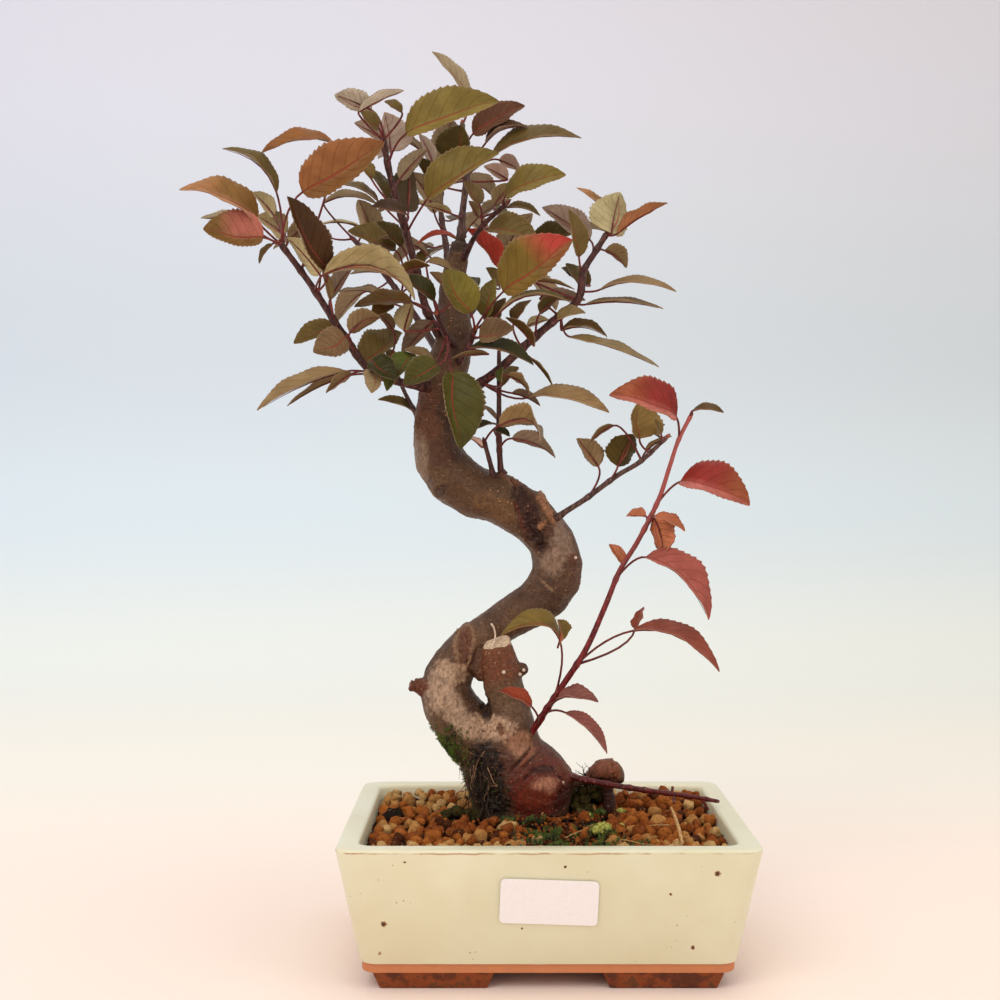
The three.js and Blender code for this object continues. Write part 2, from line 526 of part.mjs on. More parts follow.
// The leafy stems, as they show from the eye. A route gives across, up and depth; radius gives
// the stem's first and last radius. A leaf gives its place along the stem from 0 to 1, its
// base (across, up, depth), its tip (across, up, depth), half its width over its length, the
// way it faces in degrees and how far it arches over its length.
const stems = {
  branch_upper_left: {
    route: [
      [-46, 279, -3], [-54, 293, -10], [-59, 312, -16], [-65, 334, -22], [-71, 355, -26],
      [-75, 375, -28],
    ],
    radius: [2.1, 1.3],
    leaves: [
      [0.94, -80, 387, -32, -97, 394, -42, 0.33, 150, 0.05],
      [0.98, -86, 386, -36, -65, 396, -32, 0.18, 120, 0.04],
      [0.88, -71, 368, -20, -74, 386, -10, 0.46, 160, 0.05],
      [0.97, -77, 379, -38, -85, 386, -46, 0.36, 40, 0.05],
      [0.86, -64, 376, -36, -21, 391, -38, 0.23, 35, 0.1],
      [0.74, -67, 355, -16, -54, 369, -10, 0.22, 150, 0.05],
      [0.61, -63, 340, -12, -62, 362, -2, 0.3, 160, 0.05],
      [0.59, -64, 339, -32, -80, 342, -40, 0.34, 60, 0.08],
      [0.64, -80, 355, -28, -89, 364, -24, 0.3, 50, 0.08],
      [0.55, -54, 346, -34, -21, 367, -42, 0.24, 40, 0.12],
      [0.58, -77, 345, -14, -95, 353, -18, 0.22, 70, 0.1],
      [0.37, -66, 312, -26, -53, 315, -32, 0.26, 130, 0.05],
      [0.18, -70, 298, -22, -80, 291, -24, 0.36, 30, 0.08],
      [0.97, -74, 373, -24, -88, 381, -18, 0.25, 150, 0.05],
      [0.98, -66, 386, -26, -74, 391, -24, 0.28, 40, 0.06],
      [0.68, -73, 346, -16, -83, 360, -12, 0.28, 60, 0.06],
    ],
  },
  branch_low_left: {
    route: [
      [-48, 258, -6], [-62, 260, -14], [-80, 266, -22], [-93, 283, -28], [-108, 306, -32],
      [-122, 325, -36],
    ],
    radius: [2.1, 1.3],
    leaves: [
      [0.99, -130, 328, -40, -158, 332, -46, 0.36, 20, 0.05],
      [0.98, -136, 332, -28, -159, 337, -32, 0.26, 60, 0.06],
      [1.00, -133, 336, -38, -169, 350, -50, 0.24, 50, 0.2],
      [0.98, -124, 349, -34, -149, 369, -42, 0.16, 60, 0.18],
      [0.86, -98, 372, -24, -131, 367, -32, 0.17, 60, 0.14],
      [1.00, -112, 349, -44, -74, 372, -52, 0.26, 15, 0.04],
      [0.75, -101, 313, -46, -119, 347, -54, 0.21, 25, 0.06],
      [0.76, -102, 311, -50, -60, 299, -56, 0.24, 125, 0.28],
      [0.74, -104, 311, -40, -119, 328, -36, 0.25, 150, 0.05],
      [0.99, -126, 325, -28, -132, 316, -26, 0.22, 60, 0.08],
      [0.98, -125, 338, -24, -135, 349, -18, 0.25, 140, 0.05],
      [0.98, -120, 329, -22, -133, 338, -14, 0.34, 150, 0.05],
      [0.97, -118, 327, -30, -107, 337, -28, 0.3, 150, 0.05],
      [0.62, -99, 300, -28, -87, 317, -22, 0.2, 140, 0.05],
      [0.61, -99, 299, -38, -103, 314, -42, 0.14, 30, 0.04],
      [0.53, -97, 287, -20, -116, 279, -22, 0.26, 35, 0.08],
      [0.48, -92, 282, -38, -107, 275, -46, 0.42, 15, 0.06],
      [0.44, -90, 284, -36, -76, 291, -42, 0.38, 140, 0.2],
      [0.34, -84, 270, -12, -66, 284, -2, 0.4, 40, 0.06],
      [0.31, -80, 271, -32, -69, 262, -40, 0.34, 20, 0.1],
      [0.07, -61, 274, -26, -73, 257, -34, 0.28, 35, 0.1],
      [0.30, -92, 266, -30, -133, 248, -46, 0.12, 60, 0.05],
      [0.31, -91, 264, -22, -119, 250, -26, 0.14, 110, 0.05],
      [0.31, -89, 265, -36, -101, 256, -40, 0.3, 120, 0.05],
      [0.30, -80, 266, -36, -80, 256, -42, 0.4, 30, 0.08],
      [0.30, -70, 285, -12, -77, 293, -10, 0.3, 140, 0.06],
    ],
  },
  branch_apex: {
    route: [[-39, 318, 2], [-38, 338, 6], [-36, 358, 8], [-38, 381, 10]],
    radius: [1.9, 1.1],
    leaves: [
      [0.79, -33, 376, 4, -9, 389, -2, 0.27, 40, 0.1],
      [0.72, -27, 372, 0, -8, 379, -8, 0.24, 70, 0.15],
      [0.99, -35, 394, 10, -52, 414, 4, 0.17, 45, 0.08],
      [0.63, -44, 364, -4, -38, 380, -12, 0.55, 20, 0.05],
      [0.59, -51, 361, 0, -58, 376, 8, 0.2, 140, 0.05],
      [0.66, -24, 366, -2, 17, 374, -12, 0.15, 58, 0.12],
      [0.57, -17, 355, 10, -28, 361, 6, 0.3, 150, 0.05],
      [0.61, -21, 364, 16, -11, 359, 14, 0.34, 140, 0.05],
      [0.50, -52, 355, 8, -59, 365, 2, 0.34, 30, 0.06],
      [0.32, -43, 339, -8, -56, 343, -14, 0.2, 130, 0.05],
      [0.10, -40, 327, -8, -59, 325, -14, 0.13, 65, 0.2],
    ],
  },
  shoot_top_right: {
    route: [[-40, 316, 1], [-36, 321, -4], [-33, 327, -8], [-28, 334, -12], [-17, 344, -16]],
    radius: [1.5, 1.0],
    leaves: [
      [0.92, -18, 347, -18, 10, 357, -28, 0.24, 40, 0.14],
      [0.95, -17, 342, -12, -2, 338, -12, 0.2, 60, 0.12],
      [0.87, -31, 338, -10, -35, 345, -8, 0.3, 140, 0.05],
      [0.61, -26, 332, -20, -3, 327, -28, 0.26, 35, 0.12],
      [0.57, -30, 343, -14, -37, 354, -16, 0.32, 30, 0.06],
      [0.89, -23, 343, -4, -15, 353, 0, 0.3, 140, 0.05],
    ],
  },
  branch_right: {
    route: [
      [-36, 256, -4], [-21, 267, -12], [-9, 278, -16], [5, 290, -20], [16, 300, -22],
      [18, 312, -22], [24, 322, -22], [29, 330, -22],
    ],
    radius: [2.3, 1.3],
    leaves: [
      [0.71, 26, 304, -26, 61, 303, -38, 0.13, 70, 0.12],
      [0.65, 19, 297, -24, 55, 295, -34, 0.1, 80, 0.06],
      [0.57, 12, 282, -28, 53, 268, -40, 0.12, 70, 0.04],
      [0.99, 31, 330, -24, 35, 349, -18, 0.5, 155, 0.05],
      [0.99, 34, 330, -26, 57, 344, -34, 0.24, 110, 0.04],
      [0.92, 28, 322, -18, 38, 314, -20, 0.42, 130, 0.12],
      [0.81, 21, 327, -10, -1, 342, -2, 0.25, 150, 0.05],
      [0.78, 16, 319, -26, 11, 341, -32, 0.22, 40, 0.05],
      [0.67, -5, 308, -26, 14, 304, -24, 0.2, 100, 0.06],
      [0.56, -2, 300, -18, 19, 299, -14, 0.2, 140, 0.05],
      [0.32, -6, 272, -12, 4, 259, -8, 0.15, 88, 0.04],
      [0.08, -17, 264, -16, -7, 255, -20, 0.36, 110, 0.15],
      [0.09, -7, 254, -20, 30, 247, -32, 0.17, 60, 0.12],
      [0.41, -5, 278, -26, -18, 291, -30, 0.2, 120, 0.06],
      [0.72, 17, 305, -12, 10, 316, -6, 0.3, 50, 0.06],
      [0.42, -2, 293, -24, 6, 300, -22, 0.34, 140, 0.05],
      [0.99, 29, 340, -14, 15, 351, -10, 0.15, 60, 0.05],
      [0.74, 21, 306, -8, 8, 314, -4, 0.3, 40, 0.06],
      [0.34, -14, 289, -20, -6, 299, -18, 0.42, 60, 0.06],
      [0.52, 6, 290, -34, 19, 293, -36, 0.3, 50, 0.12],
      [0.57, 8, 285, -22, 29, 282, -24, 0.19, 60, 0.16],
      [0.42, -8, 287, -8, 2, 290, -2, 0.25, 140, 0.05],
      [0.09, -20, 261, -24, -19, 268, -28, 0.35, 50, 0.06],
      [0.09, -15, 256, -8, -2, 250, -6, 0.24, 120, 0.08],
    ],
  },
  shoot_inner: {
    route: [[-20, 217, -8], [-21, 234, -10], [-21, 248, -8], [-21, 260, -3], [-21, 275, 0]],
    radius: [1.4, 1.0],
    leaves: [
      [0.21, -15, 235, -22, 5, 226, -32, 0.22, 130, 0.12],
      [0.38, -24, 242, -18, -35, 238, -24, 0.18, 50, 0.1],
      [0.68, -20, 259, 2, -12, 268, 10, 0.3, 40, 0.06],
      [0.29, -23, 239, -16, -16, 236, -20, 0.3, 50, 0.06],
      [0.37, -22, 244, -4, -30, 251, 0, 0.14, 50, 0.06],
    ],
  },
  spur_inner: {
    route: [[-23, 211, -8], [-24, 219, -12], [-26, 227, -15], [-28, 234, -16]],
    radius: [1.3, 1.0],
    leaves: [
      [0.97, -21, 241, -26, -2, 234, -38, 0.34, 120, 0.36],
      [0.94, -29, 231, -20, -36, 236, -24, 0.25, 120, 0.06],
    ],
  },
  shoot_lower_right: {
    route: [[1, 192, 0], [7, 199, -6], [19, 207, -12], [34, 218, -16], [44, 224, -19], [57, 236, -24]],
    radius: [1.5, 1.0],
    leaves: [
      [0.38, 25, 222, -14, 15, 235, -18, 0.34, 150, 0.05],
      [0.54, 34, 222, -18, 41, 237, -22, 0.5, 150, 0.05],
      [0.78, 32, 241, -24, 21, 233, -28, 0.2, 120, 0.08],
      [0.85, 44, 235, -24, 43, 251, -26, 0.56, 30, 0.06],
      [0.97, 53, 236, -16, 44, 240, -10, 0.3, 60, 0.06],
      [0.78, 47, 229, -14, 59, 236, -18, 0.2, 100, 0.08],
      [0.97, 54, 237, -30, 51, 244, -32, 0.3, 50, 0.06],
    ],
  },
  shoot_long_red: {
    route: [
      [-7, 97, -10], [0, 108, -20], [8, 120, -28], [19, 137, -34], [28, 157, -37],
      [35, 174, -38], [43, 187, -39], [53, 207, -41], [58, 222, -42], [62, 234, -43],
      [68, 246, -44],
    ],
    radius: [1.6, 0.9],
    leaves: [
      [0.93, 61, 245, -48, 30, 255, -56, 0.27, 35, 0.2],
      [0.75, 63, 215, -46, 95, 204, -58, 0.3, 40, 0.2],
      [0.68, 51, 198, -42, 55, 180, -48, 0.46, 130, 0.08],
      [0.68, 47, 199, -34, 38, 199, -30, 0.45, 60, 0.08],
      [0.53, 47, 180, -46, 76, 151, -58, 0.22, 45, 0.18],
      [0.53, 36, 177, -32, 30, 186, -28, 0.3, 40, 0.08],
      [0.28, 41, 146, -46, 81, 127, -60, 0.17, 60, 0.17],
      [0.16, 7, 142, -44, -20, 144, -54, 0.2, 45, 0.34],
      [0.12, 6, 114, -34, 25, 113, -44, 0.24, 50, 0.15],
      [0.08, 10, 108, -38, 29, 89, -48, 0.17, 45, 0.1],
      [0.05, -6, 111, -34, -21, 118, -40, 0.25, 45, 0.1],
      [0.99, 69, 248, -46, 83, 247, -52, 0.22, 60, 0.12],
      [0.72, 51, 199, -48, 65, 192, -54, 0.28, 60, 0.1],
      [0.31, 42, 147, -36, 46, 157, -32, 0.36, 60, 0.06],
      [0.19, 7, 139, -54, 6, 151, -58, 0.28, 60, 0.06],
    ],
  },
  spur_left: {
    route: [[-58, 244, 4], [-64, 255, 12], [-68, 264, 18]],
    radius: [1.2, 0.9],
    leaves: [
      [0.24, -61, 248, 12, -77, 253, 6, 0.2, 55, 0.1],
      [0.95, -68, 267, 22, -74, 277, 26, 0.28, 50, 0.06],
    ],
  },
  branch_back_left: {
    route: [[-49, 275, 6], [-60, 292, 32], [-74, 311, 50], [-89, 328, 62]],
    radius: [2.0, 1.1],
    leaves: [
      [0.97, -102, 344, 50, -77, 343, 54, 0.17, 75, 0.15],
      [0.95, -84, 332, 60, -104, 334, 52, 0.1, 80, 0.1],
      [0.59, -76, 312, 46, -90, 311, 44, 0.16, 110, 0.05],
      [0.52, -69, 322, 36, -91, 331, 34, 0.26, 40, 0.08],
      [0.43, -66, 324, 24, -78, 335, 20, 0.3, 40, 0.08],
    ],
  },
  branch_back_right: {
    route: [[-41, 283, 6], [-30, 299, 28], [-15, 317, 44], [0, 331, 56]],
    radius: [2.0, 1.1],
    leaves: [
      [0.60, -20, 314, 18, -36, 332, 8, 0.24, 40, 0.12],
      [0.80, -5, 327, 30, 15, 331, 24, 0.28, 30, 0.06],
      [0.60, -16, 314, 30, -9, 326, 24, 0.28, 40, 0.06],
      [0.48, -21, 306, 16, -27, 314, 10, 0.34, 40, 0.06],
    ],
  },
  branch_back: {
    route: [[-44, 299, 8], [-45, 320, 34], [-48, 343, 50], [-46, 361, 60]],
    radius: [1.9, 1.1],
    leaves: [
    ],
  },
  spur_front_left: {
    route: [[-41, 276, -6], [-46, 284, -18], [-50, 293, -28]],
    radius: [1.4, 1.1],
    leaves: [
      [0.87, -54, 317, -24, -42, 312, -24, 0.25, 60, 0.06],
      [0.97, -41, 300, -30, -53, 312, -28, 0.22, 140, 0.05],
      [0.91, -51, 299, -32, -66, 310, -40, 0.26, 40, 0.08],
      [0.58, -52, 289, -10, -66, 274, -4, 0.24, 150, 0.05],
      [0.64, -65, 285, -22, -61, 298, -18, 0.36, 150, 0.05],
      [0.45, -51, 269, -22, -65, 276, -28, 0.26, 60, 0.1],
      [0.33, -43, 266, -30, -39, 230, -38, 0.28, 15, 0.06],
      [0.92, -61, 298, -22, -88, 296, -26, 0.2, 50, 0.08],
      [0.49, -49, 269, -34, -65, 260, -40, 0.34, 20, 0.08],
    ],
  },
  spur_front_right: {
    route: [[-40, 270, -8], [-35, 278, -18], [-32, 286, -26]],
    radius: [1.5, 1.1],
    leaves: [
      [0.98, -19, 303, -36, 13, 327, -46, 0.29, 18, 0.08],
      [0.92, -34, 293, -34, -46, 313, -34, 0.36, 20, 0.06],
      [0.95, -27, 291, -28, -23, 309, -22, 0.26, 30, 0.05],
      [0.89, -30, 282, -34, -14, 286, -44, 0.32, 25, 0.06],
      [0.67, -34, 277, -32, -5, 269, -44, 0.17, 55, 0.1],
      [0.73, -24, 285, -24, -18, 300, -18, 0.3, 40, 0.06],
      [0.98, -21, 293, -32, 12, 298, -38, 0.1, 80, 0.18],
      [0.49, -26, 274, -26, -43, 272, -30, 0.15, 120, 0.05],
    ],
  },
};

// Leaves on the three stems at the back stand in a spiral round the stem.
const spirals = {
  branch_back_left: { count: 6, from: 0.42 },
  branch_back_right: { count: 6, from: 0.42 },
  branch_back: { count: 9, from: 0.3 },
};
const spiralTurn = 137.5;       // degrees from one leaf of a spiral to the next
const spiralLeaf = { petiole: 11, length: 32, width: 0.25, arch: 0.12, droop: 0.2 };

// The bare red shoot that runs from the base over the soil to the rim, with its short twigs.
const lowShoot = {
  route: [[5, 80.2, -2], [12.8, 78.4, -6], [28, 75.2, -8], [44, 72.6, -9], [72, 68.6, -10], [81, 66.9, -10]],
  radius: [1.7, 0.9],
  twigs: [
    [[59, 70.2, -9.5], [59.4, 74, -9]],
    [[60, 70.2, -9.5], [60, 66, -12]],
    [[73, 68.2, -10], [76, 63, -11]],
  ],
};

// Where a stem has come far enough out of the bark for its collar to end.
function collarEnd(path) {
  const length = path.getLength();
  let run = 0;
  while (outOfBark(path.getPointAt(run / length)) < collarReach) run += 0.5;
  return run / length;
}

function stemParts({ route, radius }) {
  const path = smooth(route.map(seen));
  const end = collarEnd(path);
  const slit = seatGap / path.getLength();
  const radiusAt = (t) => THREE.MathUtils.lerp(radius[0], radius[1], t);
  const collar = limb(stretch(path, 0, end), [radius[0] * 1.7, radiusAt(end) * 1.15], 5);
  const stem = limb(stretch(path, end + slit, 1), [radiusAt(end), radius[1]], 6);
  return { path, collar, stem, first: end + slit + 1.5 / path.getLength() };
}

// Pieces that a new leaf must stay clear of.
const placed = [];

function place(node, solid, isLeaf) {
  const { min, max } = solid.boundingBox();
  placed.push({ node, solid, isLeaf, min, max });
}

function isClear(node, solid) {
  const { min, max } = solid.boundingBox();
  const room = seatGap + 0.1;
  const crossing = 1.5;         // mm3 that two leaves of one stem may share at their roots
  return placed.every((other) => {
    const apart = [0, 1, 2].some((k) => min[k] - room > other.max[k] || max[k] + room < other.min[k]);
    if (apart) return true;
    if (other.node !== node) return solid.minGap(other.solid, room) >= room;
    return !other.isLeaf || solid.intersect(other.solid).volume() < crossing;
  });
}

// A leaf that would touch its neighbours moves nearer or further along the line of sight.
const depthShifts = [0, -3, 3, -6, 6, -9, 9, -12, 12, -16, 16, -20, 20, -25, 25, -30, 30, -36, 36];

function seenLeaf(node, { path, first }, [at, bx, bz, by, tx, tz, ty, width, face, arch]) {
  const root = path.getPointAt(Math.max(at, first));
  for (const shift of depthShifts) {
    const base = seen([bx, bz, by + shift]);
    const tip = seen([tx, tz, ty + shift]);
    const leaf = leafSolid(root, base, tip, width, facing(base, tip, face), arch);
    if (isClear(node, leaf)) return leaf;
  }
  throw new Error(`${node}: no clear place for the leaf at ${bx}, ${bz}`);
}

// A leaf of a spiral that would touch its neighbours is turned further round its stem.
function spiralLeafAt(node, path, at, order, scale) {
  const { petiole, length, width, arch, droop } = spiralLeaf;
  const root = path.getPointAt(at);
  const along = path.getTangentAt(at);
  const level = new THREE.Vector3(0, 0, 1).cross(along).normalize();
  for (let turns = 0; turns < 24; turns += 1) {
    const angle = THREE.MathUtils.degToRad(spiralTurn * order + 15 * turns);
    const out = level.clone().applyAxisAngle(along, angle);
    const heading = out.clone().addScaledVector(along, 0.5).normalize();
    const base = root.clone().addScaledVector(heading, petiole);
    const blade = heading.clone().setZ(heading.z - droop).normalize();
    const tip = base.clone().addScaledVector(blade, length * scale);
    const up = new THREE.Vector3(0, 0, 1).addScaledVector(blade, -blade.z).normalize();
    const leaf = leafSolid(root, base, tip, width, up, arch);
    if (isClear(node, leaf)) return leaf;
  }
  throw new Error(`${node}: no clear turn for leaf ${order} of the spiral`);
}

function leavesOf(node, stem, parts) {
  const leaves = stem.leaves.map((row) => {
    const leaf = seenLeaf(node, parts, row);
    place(node, leaf, true);
    return leaf;
  });
  const spiral = spirals[node];
  const random = randomFrom(11);
  for (let k = 0; spiral && k < spiral.count; k += 1) {
    const at = spiral.from + (0.99 - spiral.from) * k / (spiral.count - 1);
    const leaf = spiralLeafAt(node, parts.path, at, k, 0.85 + 0.3 * random());
    place(node, leaf, true);
    leaves.push(leaf);
  }
  return leaves;
}

// Assembly

function piece(name, solid, color, roughness) {
  const material = new THREE.MeshStandardMaterial({ color, roughness, metalness: 0 });
  const mesh = new THREE.Mesh(geometryFrom(solid), material);
  mesh.name = name;
  return mesh;
}

const stemParted = Object.entries(stems).map(([node, stem]) => [node, stem, stemParts(stem)]);
const shootParts = stemParts(lowShoot);
const twigs = lowShoot.twigs.map((line) => limb(railOf(line.map(seen), 1), [0.8, 0.6], 5));
const lowShootSolid = joined([shootParts.stem, ...twigs]);

const trunk = makeTrunk([...stemParted.map(([, , parts]) => parts.collar), shootParts.collar]);
const pot = makePot();
const soil = makeSoil([-drainHole.x, drainHole.x]);

place('trunk', trunk, false);
place('pot', pot, false);
place('soil', soil, false);
place('low_shoot', lowShootSolid, false);
stemParted.forEach(([node, , parts]) => place(node, parts.stem, false));

const tree = new THREE.Group();
tree.add(piece('pot', pot, 0xddd6b4, 0.3));
tree.add(piece('label_blank', makeLabel(), 0xf2f0ea, 0.6));
tree.add(piece('drainage_screen_left', makeScreen(-drainHole.x), 0x26282a, 0.6));
tree.add(piece('drainage_screen_right', makeScreen(drainHole.x), 0x26282a, 0.6));
tree.add(piece('soil', soil, 0x9a6236, 0.95));
tree.add(piece('trunk', trunk, 0x6b5347, 0.6));
tree.add(piece('low_shoot', lowShootSolid, 0x5a1f1e, 0.4));
for (const [node, stem, parts] of stemParted) {
  tree.add(piece(node, joined([parts.stem, ...leavesOf(node, stem, parts)]), 0x6a6234, 0.5));
}

// The origin is the middle of the part's box, at the height that the feet stand on.
const bonsai = new THREE.Group();
bonsai.add(tree);
const box = new THREE.Box3().setFromObject(bonsai);
tree.position.set(-(box.min.x + box.max.x) / 2, -(box.min.y + box.max.y) / 2, -box.min.z);
bonsai.updateMatrixWorld(true);

export default bonsai;
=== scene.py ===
import math
import random

import bmesh
import bpy
from mathutils import Euler, Matrix, Quaternion, Vector, noise
from mathutils.bvhtree import BVHTree
from mathutils.kdtree import KDTree


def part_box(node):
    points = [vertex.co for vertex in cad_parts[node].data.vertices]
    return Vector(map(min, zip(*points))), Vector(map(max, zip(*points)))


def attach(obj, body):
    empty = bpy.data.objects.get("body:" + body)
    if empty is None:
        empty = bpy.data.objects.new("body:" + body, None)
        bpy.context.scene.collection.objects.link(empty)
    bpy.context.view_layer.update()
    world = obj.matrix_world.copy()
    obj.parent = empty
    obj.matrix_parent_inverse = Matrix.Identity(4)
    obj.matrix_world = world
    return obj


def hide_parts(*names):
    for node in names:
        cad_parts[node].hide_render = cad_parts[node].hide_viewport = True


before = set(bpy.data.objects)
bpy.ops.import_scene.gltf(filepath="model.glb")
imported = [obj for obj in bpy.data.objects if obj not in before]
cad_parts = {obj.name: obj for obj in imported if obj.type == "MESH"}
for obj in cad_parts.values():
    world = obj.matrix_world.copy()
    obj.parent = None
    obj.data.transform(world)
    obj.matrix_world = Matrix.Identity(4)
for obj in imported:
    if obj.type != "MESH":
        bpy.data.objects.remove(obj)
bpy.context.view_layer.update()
bpy.ops.object.select_all(action="DESELECT")
print("frame loaded:", len(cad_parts), "nodes")

# Everything is laid out in millimetres round the middle of the pot, as the solids were, and
# turned into metres in the frame when a mesh is made.
millimetre = 0.001
fullTurn = 6.28                  # radians
potLow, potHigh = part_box("pot")
potPlace = Vector(((potLow.x + potHigh.x) / 2, (potLow.y + potHigh.y) / 2, 0))
eye = Vector((-21, -630, 213))   # where the tree's front is seen from
treeDepth = 18                   # the tree stands this far behind the middle of the pot
up = Vector((0, 0, 1))


def metres(point):
    return Vector(point) * millimetre + potPlace


def seen(x, z, y):               # a point as it shows on the plane y = 0, moved to its depth
    onPlane = Vector((x, 0, z))
    return eye + (onPlane - eye) * (1 + (y + treeDepth) / -eye.y)


def seenPlace(x, z, y):
    return metres(seen(x, z, y))


# Meshes

def selectOnly(*pieces):
    bpy.ops.object.select_all(action="DESELECT")
    for piece in pieces:
        piece.select_set(True)
    bpy.context.view_layer.objects.active = pieces[0]


def selectWhere(mesh, kind, test):
    bpy.ops.mesh.select_all(action="DESELECT")
    edit = bmesh.from_edit_mesh(mesh)
    bpy.context.tool_settings.mesh_select_mode = (kind == "verts", kind == "edges", kind == "faces")
    for element in getattr(edit, kind):
        element.select = test(element)
    edit.select_flush_mode()
    bmesh.update_edit_mesh(mesh)


def copied(template):            # a copy with its own mesh
    piece = template.copy()
    piece.data = template.data.copy()
    bpy.context.scene.collection.objects.link(piece)
    return piece


def copyOf(node):                # a merged copy of a solid, to be worked on
    piece = copied(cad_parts[node])
    piece.parent = None
    piece.matrix_world = Matrix.Identity(4)
    piece.name = node + "_fine"
    piece.data.name = piece.name
    selectOnly(piece)
    bpy.ops.object.mode_set(mode="EDIT")
    bpy.ops.mesh.select_all(action="SELECT")
    bpy.ops.mesh.remove_doubles(threshold=0.00001)
    bpy.ops.object.mode_set(mode="OBJECT")
    piece.data.materials.clear()
    return piece


def joinPieces(name, pieces):
    selectOnly(*pieces)
    bpy.ops.object.join()
    joined = bpy.context.object
    joined.name = name
    joined.data.name = name
    return joined


def applyModifier(piece, kind, **settings):
    bpy.context.view_layer.objects.active = piece
    modifier = piece.modifiers.new(kind.lower(), kind)
    for name, value in settings.items():
        setattr(modifier, name, value)
    bpy.ops.object.modifier_apply(modifier=modifier.name)


def tubes(name, lines, material, sides=2):   # each line is a list of (place in mm, radius)
    curve = bpy.data.curves.new(name, "CURVE")
    curve.dimensions = "3D"
    curve.bevel_depth = millimetre
    curve.bevel_resolution = sides
    curve.use_fill_caps = True
    for line in lines:
        spline = curve.splines.new("POLY")
        spline.points.add(len(line) - 1)
        for point, (place, radius) in zip(spline.points, line):
            point.co = (*metres(place), 1)
            point.radius = radius
    piece = bpy.data.objects.new(name, curve)
    bpy.context.scene.collection.objects.link(piece)
    selectOnly(piece)
    bpy.ops.object.convert(target="MESH")
    piece = bpy.context.object
    piece.data.materials.clear()
    piece.data.materials.append(material)
    bpy.ops.object.shade_smooth()
    return piece


def surfaceOf(piece):
    vertices = [v.co.copy() for v in piece.data.vertices]
    return BVHTree.FromPolygons(vertices, [list(p.vertices) for p in piece.data.polygons])


def frontOf(surface, x, z):      # the place on a surface that shows at x, z from the eye
    start = metres(eye)
    towards = (seenPlace(x, z, 0) - start).normalized()
    hit = surface.ray_cast(start, towards)[0]
    return hit if hit else seenPlace(x, z, 0)


def below(surface, x, y):        # the place on a surface straight below x, y
    aboveAll = 90
    return surface.ray_cast(metres((x, y, aboveAll)), -up)[0]


# Materials

def newMaterial(name):           # a material, its shader and the coordinates on the object
    material = bpy.data.materials.new(name)
    material.use_nodes = True
    shader = material.node_tree.nodes["Principled BSDF"]
    return material, shader, put("ShaderNodeTexCoord", beside=shader).outputs["Object"]


def rgb(red, green, blue):       # a colour as it shows on screen, made linear
    def part(value):
        value /= 255
        return value / 12.92 if value <= 0.04045 else ((value + 0.055) / 1.055) ** 2.4
    return (part(red), part(green), part(blue))


def blend(before, after, share):
    return [a * (1 - share) + b * share for a, b in zip(before, after)]


def put(kind, inputs=(), beside=None, **settings):   # a new node beside the ones it is fed by
    linked = {key: value for key, value in dict(inputs).items()
              if isinstance(value, bpy.types.NodeSocket)}
    tree = (beside or next(iter(linked.values()))).id_data
    node = tree.nodes.new(kind)
    for name, value in settings.items():
        setattr(node, name, value)
    for key, value in dict(inputs).items():
        socket = node.inputs[key]
        if key in linked:
            tree.links.new(value, socket)
        else:
            if socket.type == "RGBA" and len(value) == 3:
                value = (*value, 1)
            socket.default_value = value
    return node


def stretched(vector, scale):
    return put("ShaderNodeMapping", {"Vector": vector, "Scale": scale}).outputs[0]


def separate(vector):
    return put("ShaderNodeSeparateXYZ", {"Vector": vector}).outputs


def calc(operation, a, b=0.0):
    return put("ShaderNodeMath", {0: a, 1: b}, operation=operation).outputs[0]


def times(a, b):
    return calc("MULTIPLY", a, b)


def minus(a, b):
    return calc("SUBTRACT", a, b)


def remap(value, low, high, toLow=0.0, toHigh=1.0):
    inputs = {"Value": value, "From Min": low, "From Max": high, "To Min": toLow, "To Max": toHigh}
    return put("ShaderNodeMapRange", inputs, interpolation_type="SMOOTHSTEP").outputs[0]


def mixColour(factor, a, b, blendType="MIX"):
    inputs = {0: factor, 6: a, 7: b}
    return put("ShaderNodeMix", inputs, data_type="RGBA", blend_type=blendType).outputs[2]


def grain(vector, scale, detail=3.0, roughness=0.55):
    inputs = {"Vector": vector, "Scale": scale, "Detail": detail, "Roughness": roughness}
    return put("ShaderNodeTexNoise", inputs).outputs["Fac"]


def wobble(vector, scale, detail, reach):   # grain round 0, this far from end to end
    return times(minus(grain(vector, scale, detail), 0.5), reach)


def cells(vector, scale, feature="F1"):
    node = put("ShaderNodeTexVoronoi", {"Vector": vector, "Scale": scale}, feature=feature)
    return node.outputs["Distance"]


def spots(vector, scale, size, soft=0.05):   # 1 in small round spots, one to a cell
    return remap(cells(vector, scale), size, size + soft, 1.0, 0.0)


def attribute(shader, name):
    return put("ShaderNodeAttribute", beside=shader, attribute_name=name).outputs["Color"]


def bump(shader, height, strength, distance):
    inputs = {"Height": height, "Strength": strength, "Distance": distance}
    if shader.inputs["Normal"].is_linked:
        inputs["Normal"] = shader.inputs["Normal"].links[0].from_socket
    node = put("ShaderNodeBump", inputs)
    shader.id_data.links.new(node.outputs[0], shader.inputs["Normal"])


def coat(shader, colour, roughness, specular=0.5):
    shader.id_data.links.new(colour, shader.inputs["Base Color"])
    if isinstance(roughness, bpy.types.NodeSocket):
        shader.id_data.links.new(roughness, shader.inputs["Roughness"])
    else:
        shader.inputs["Roughness"].default_value = roughness
    shader.inputs["Specular IOR Level"].default_value = specular


# Camera, light and floor

cameraForm = {"film": 36, "lens": 49.0, "shift": (0.001, -0.014), "nearest": 0.01, "farthest": 20}


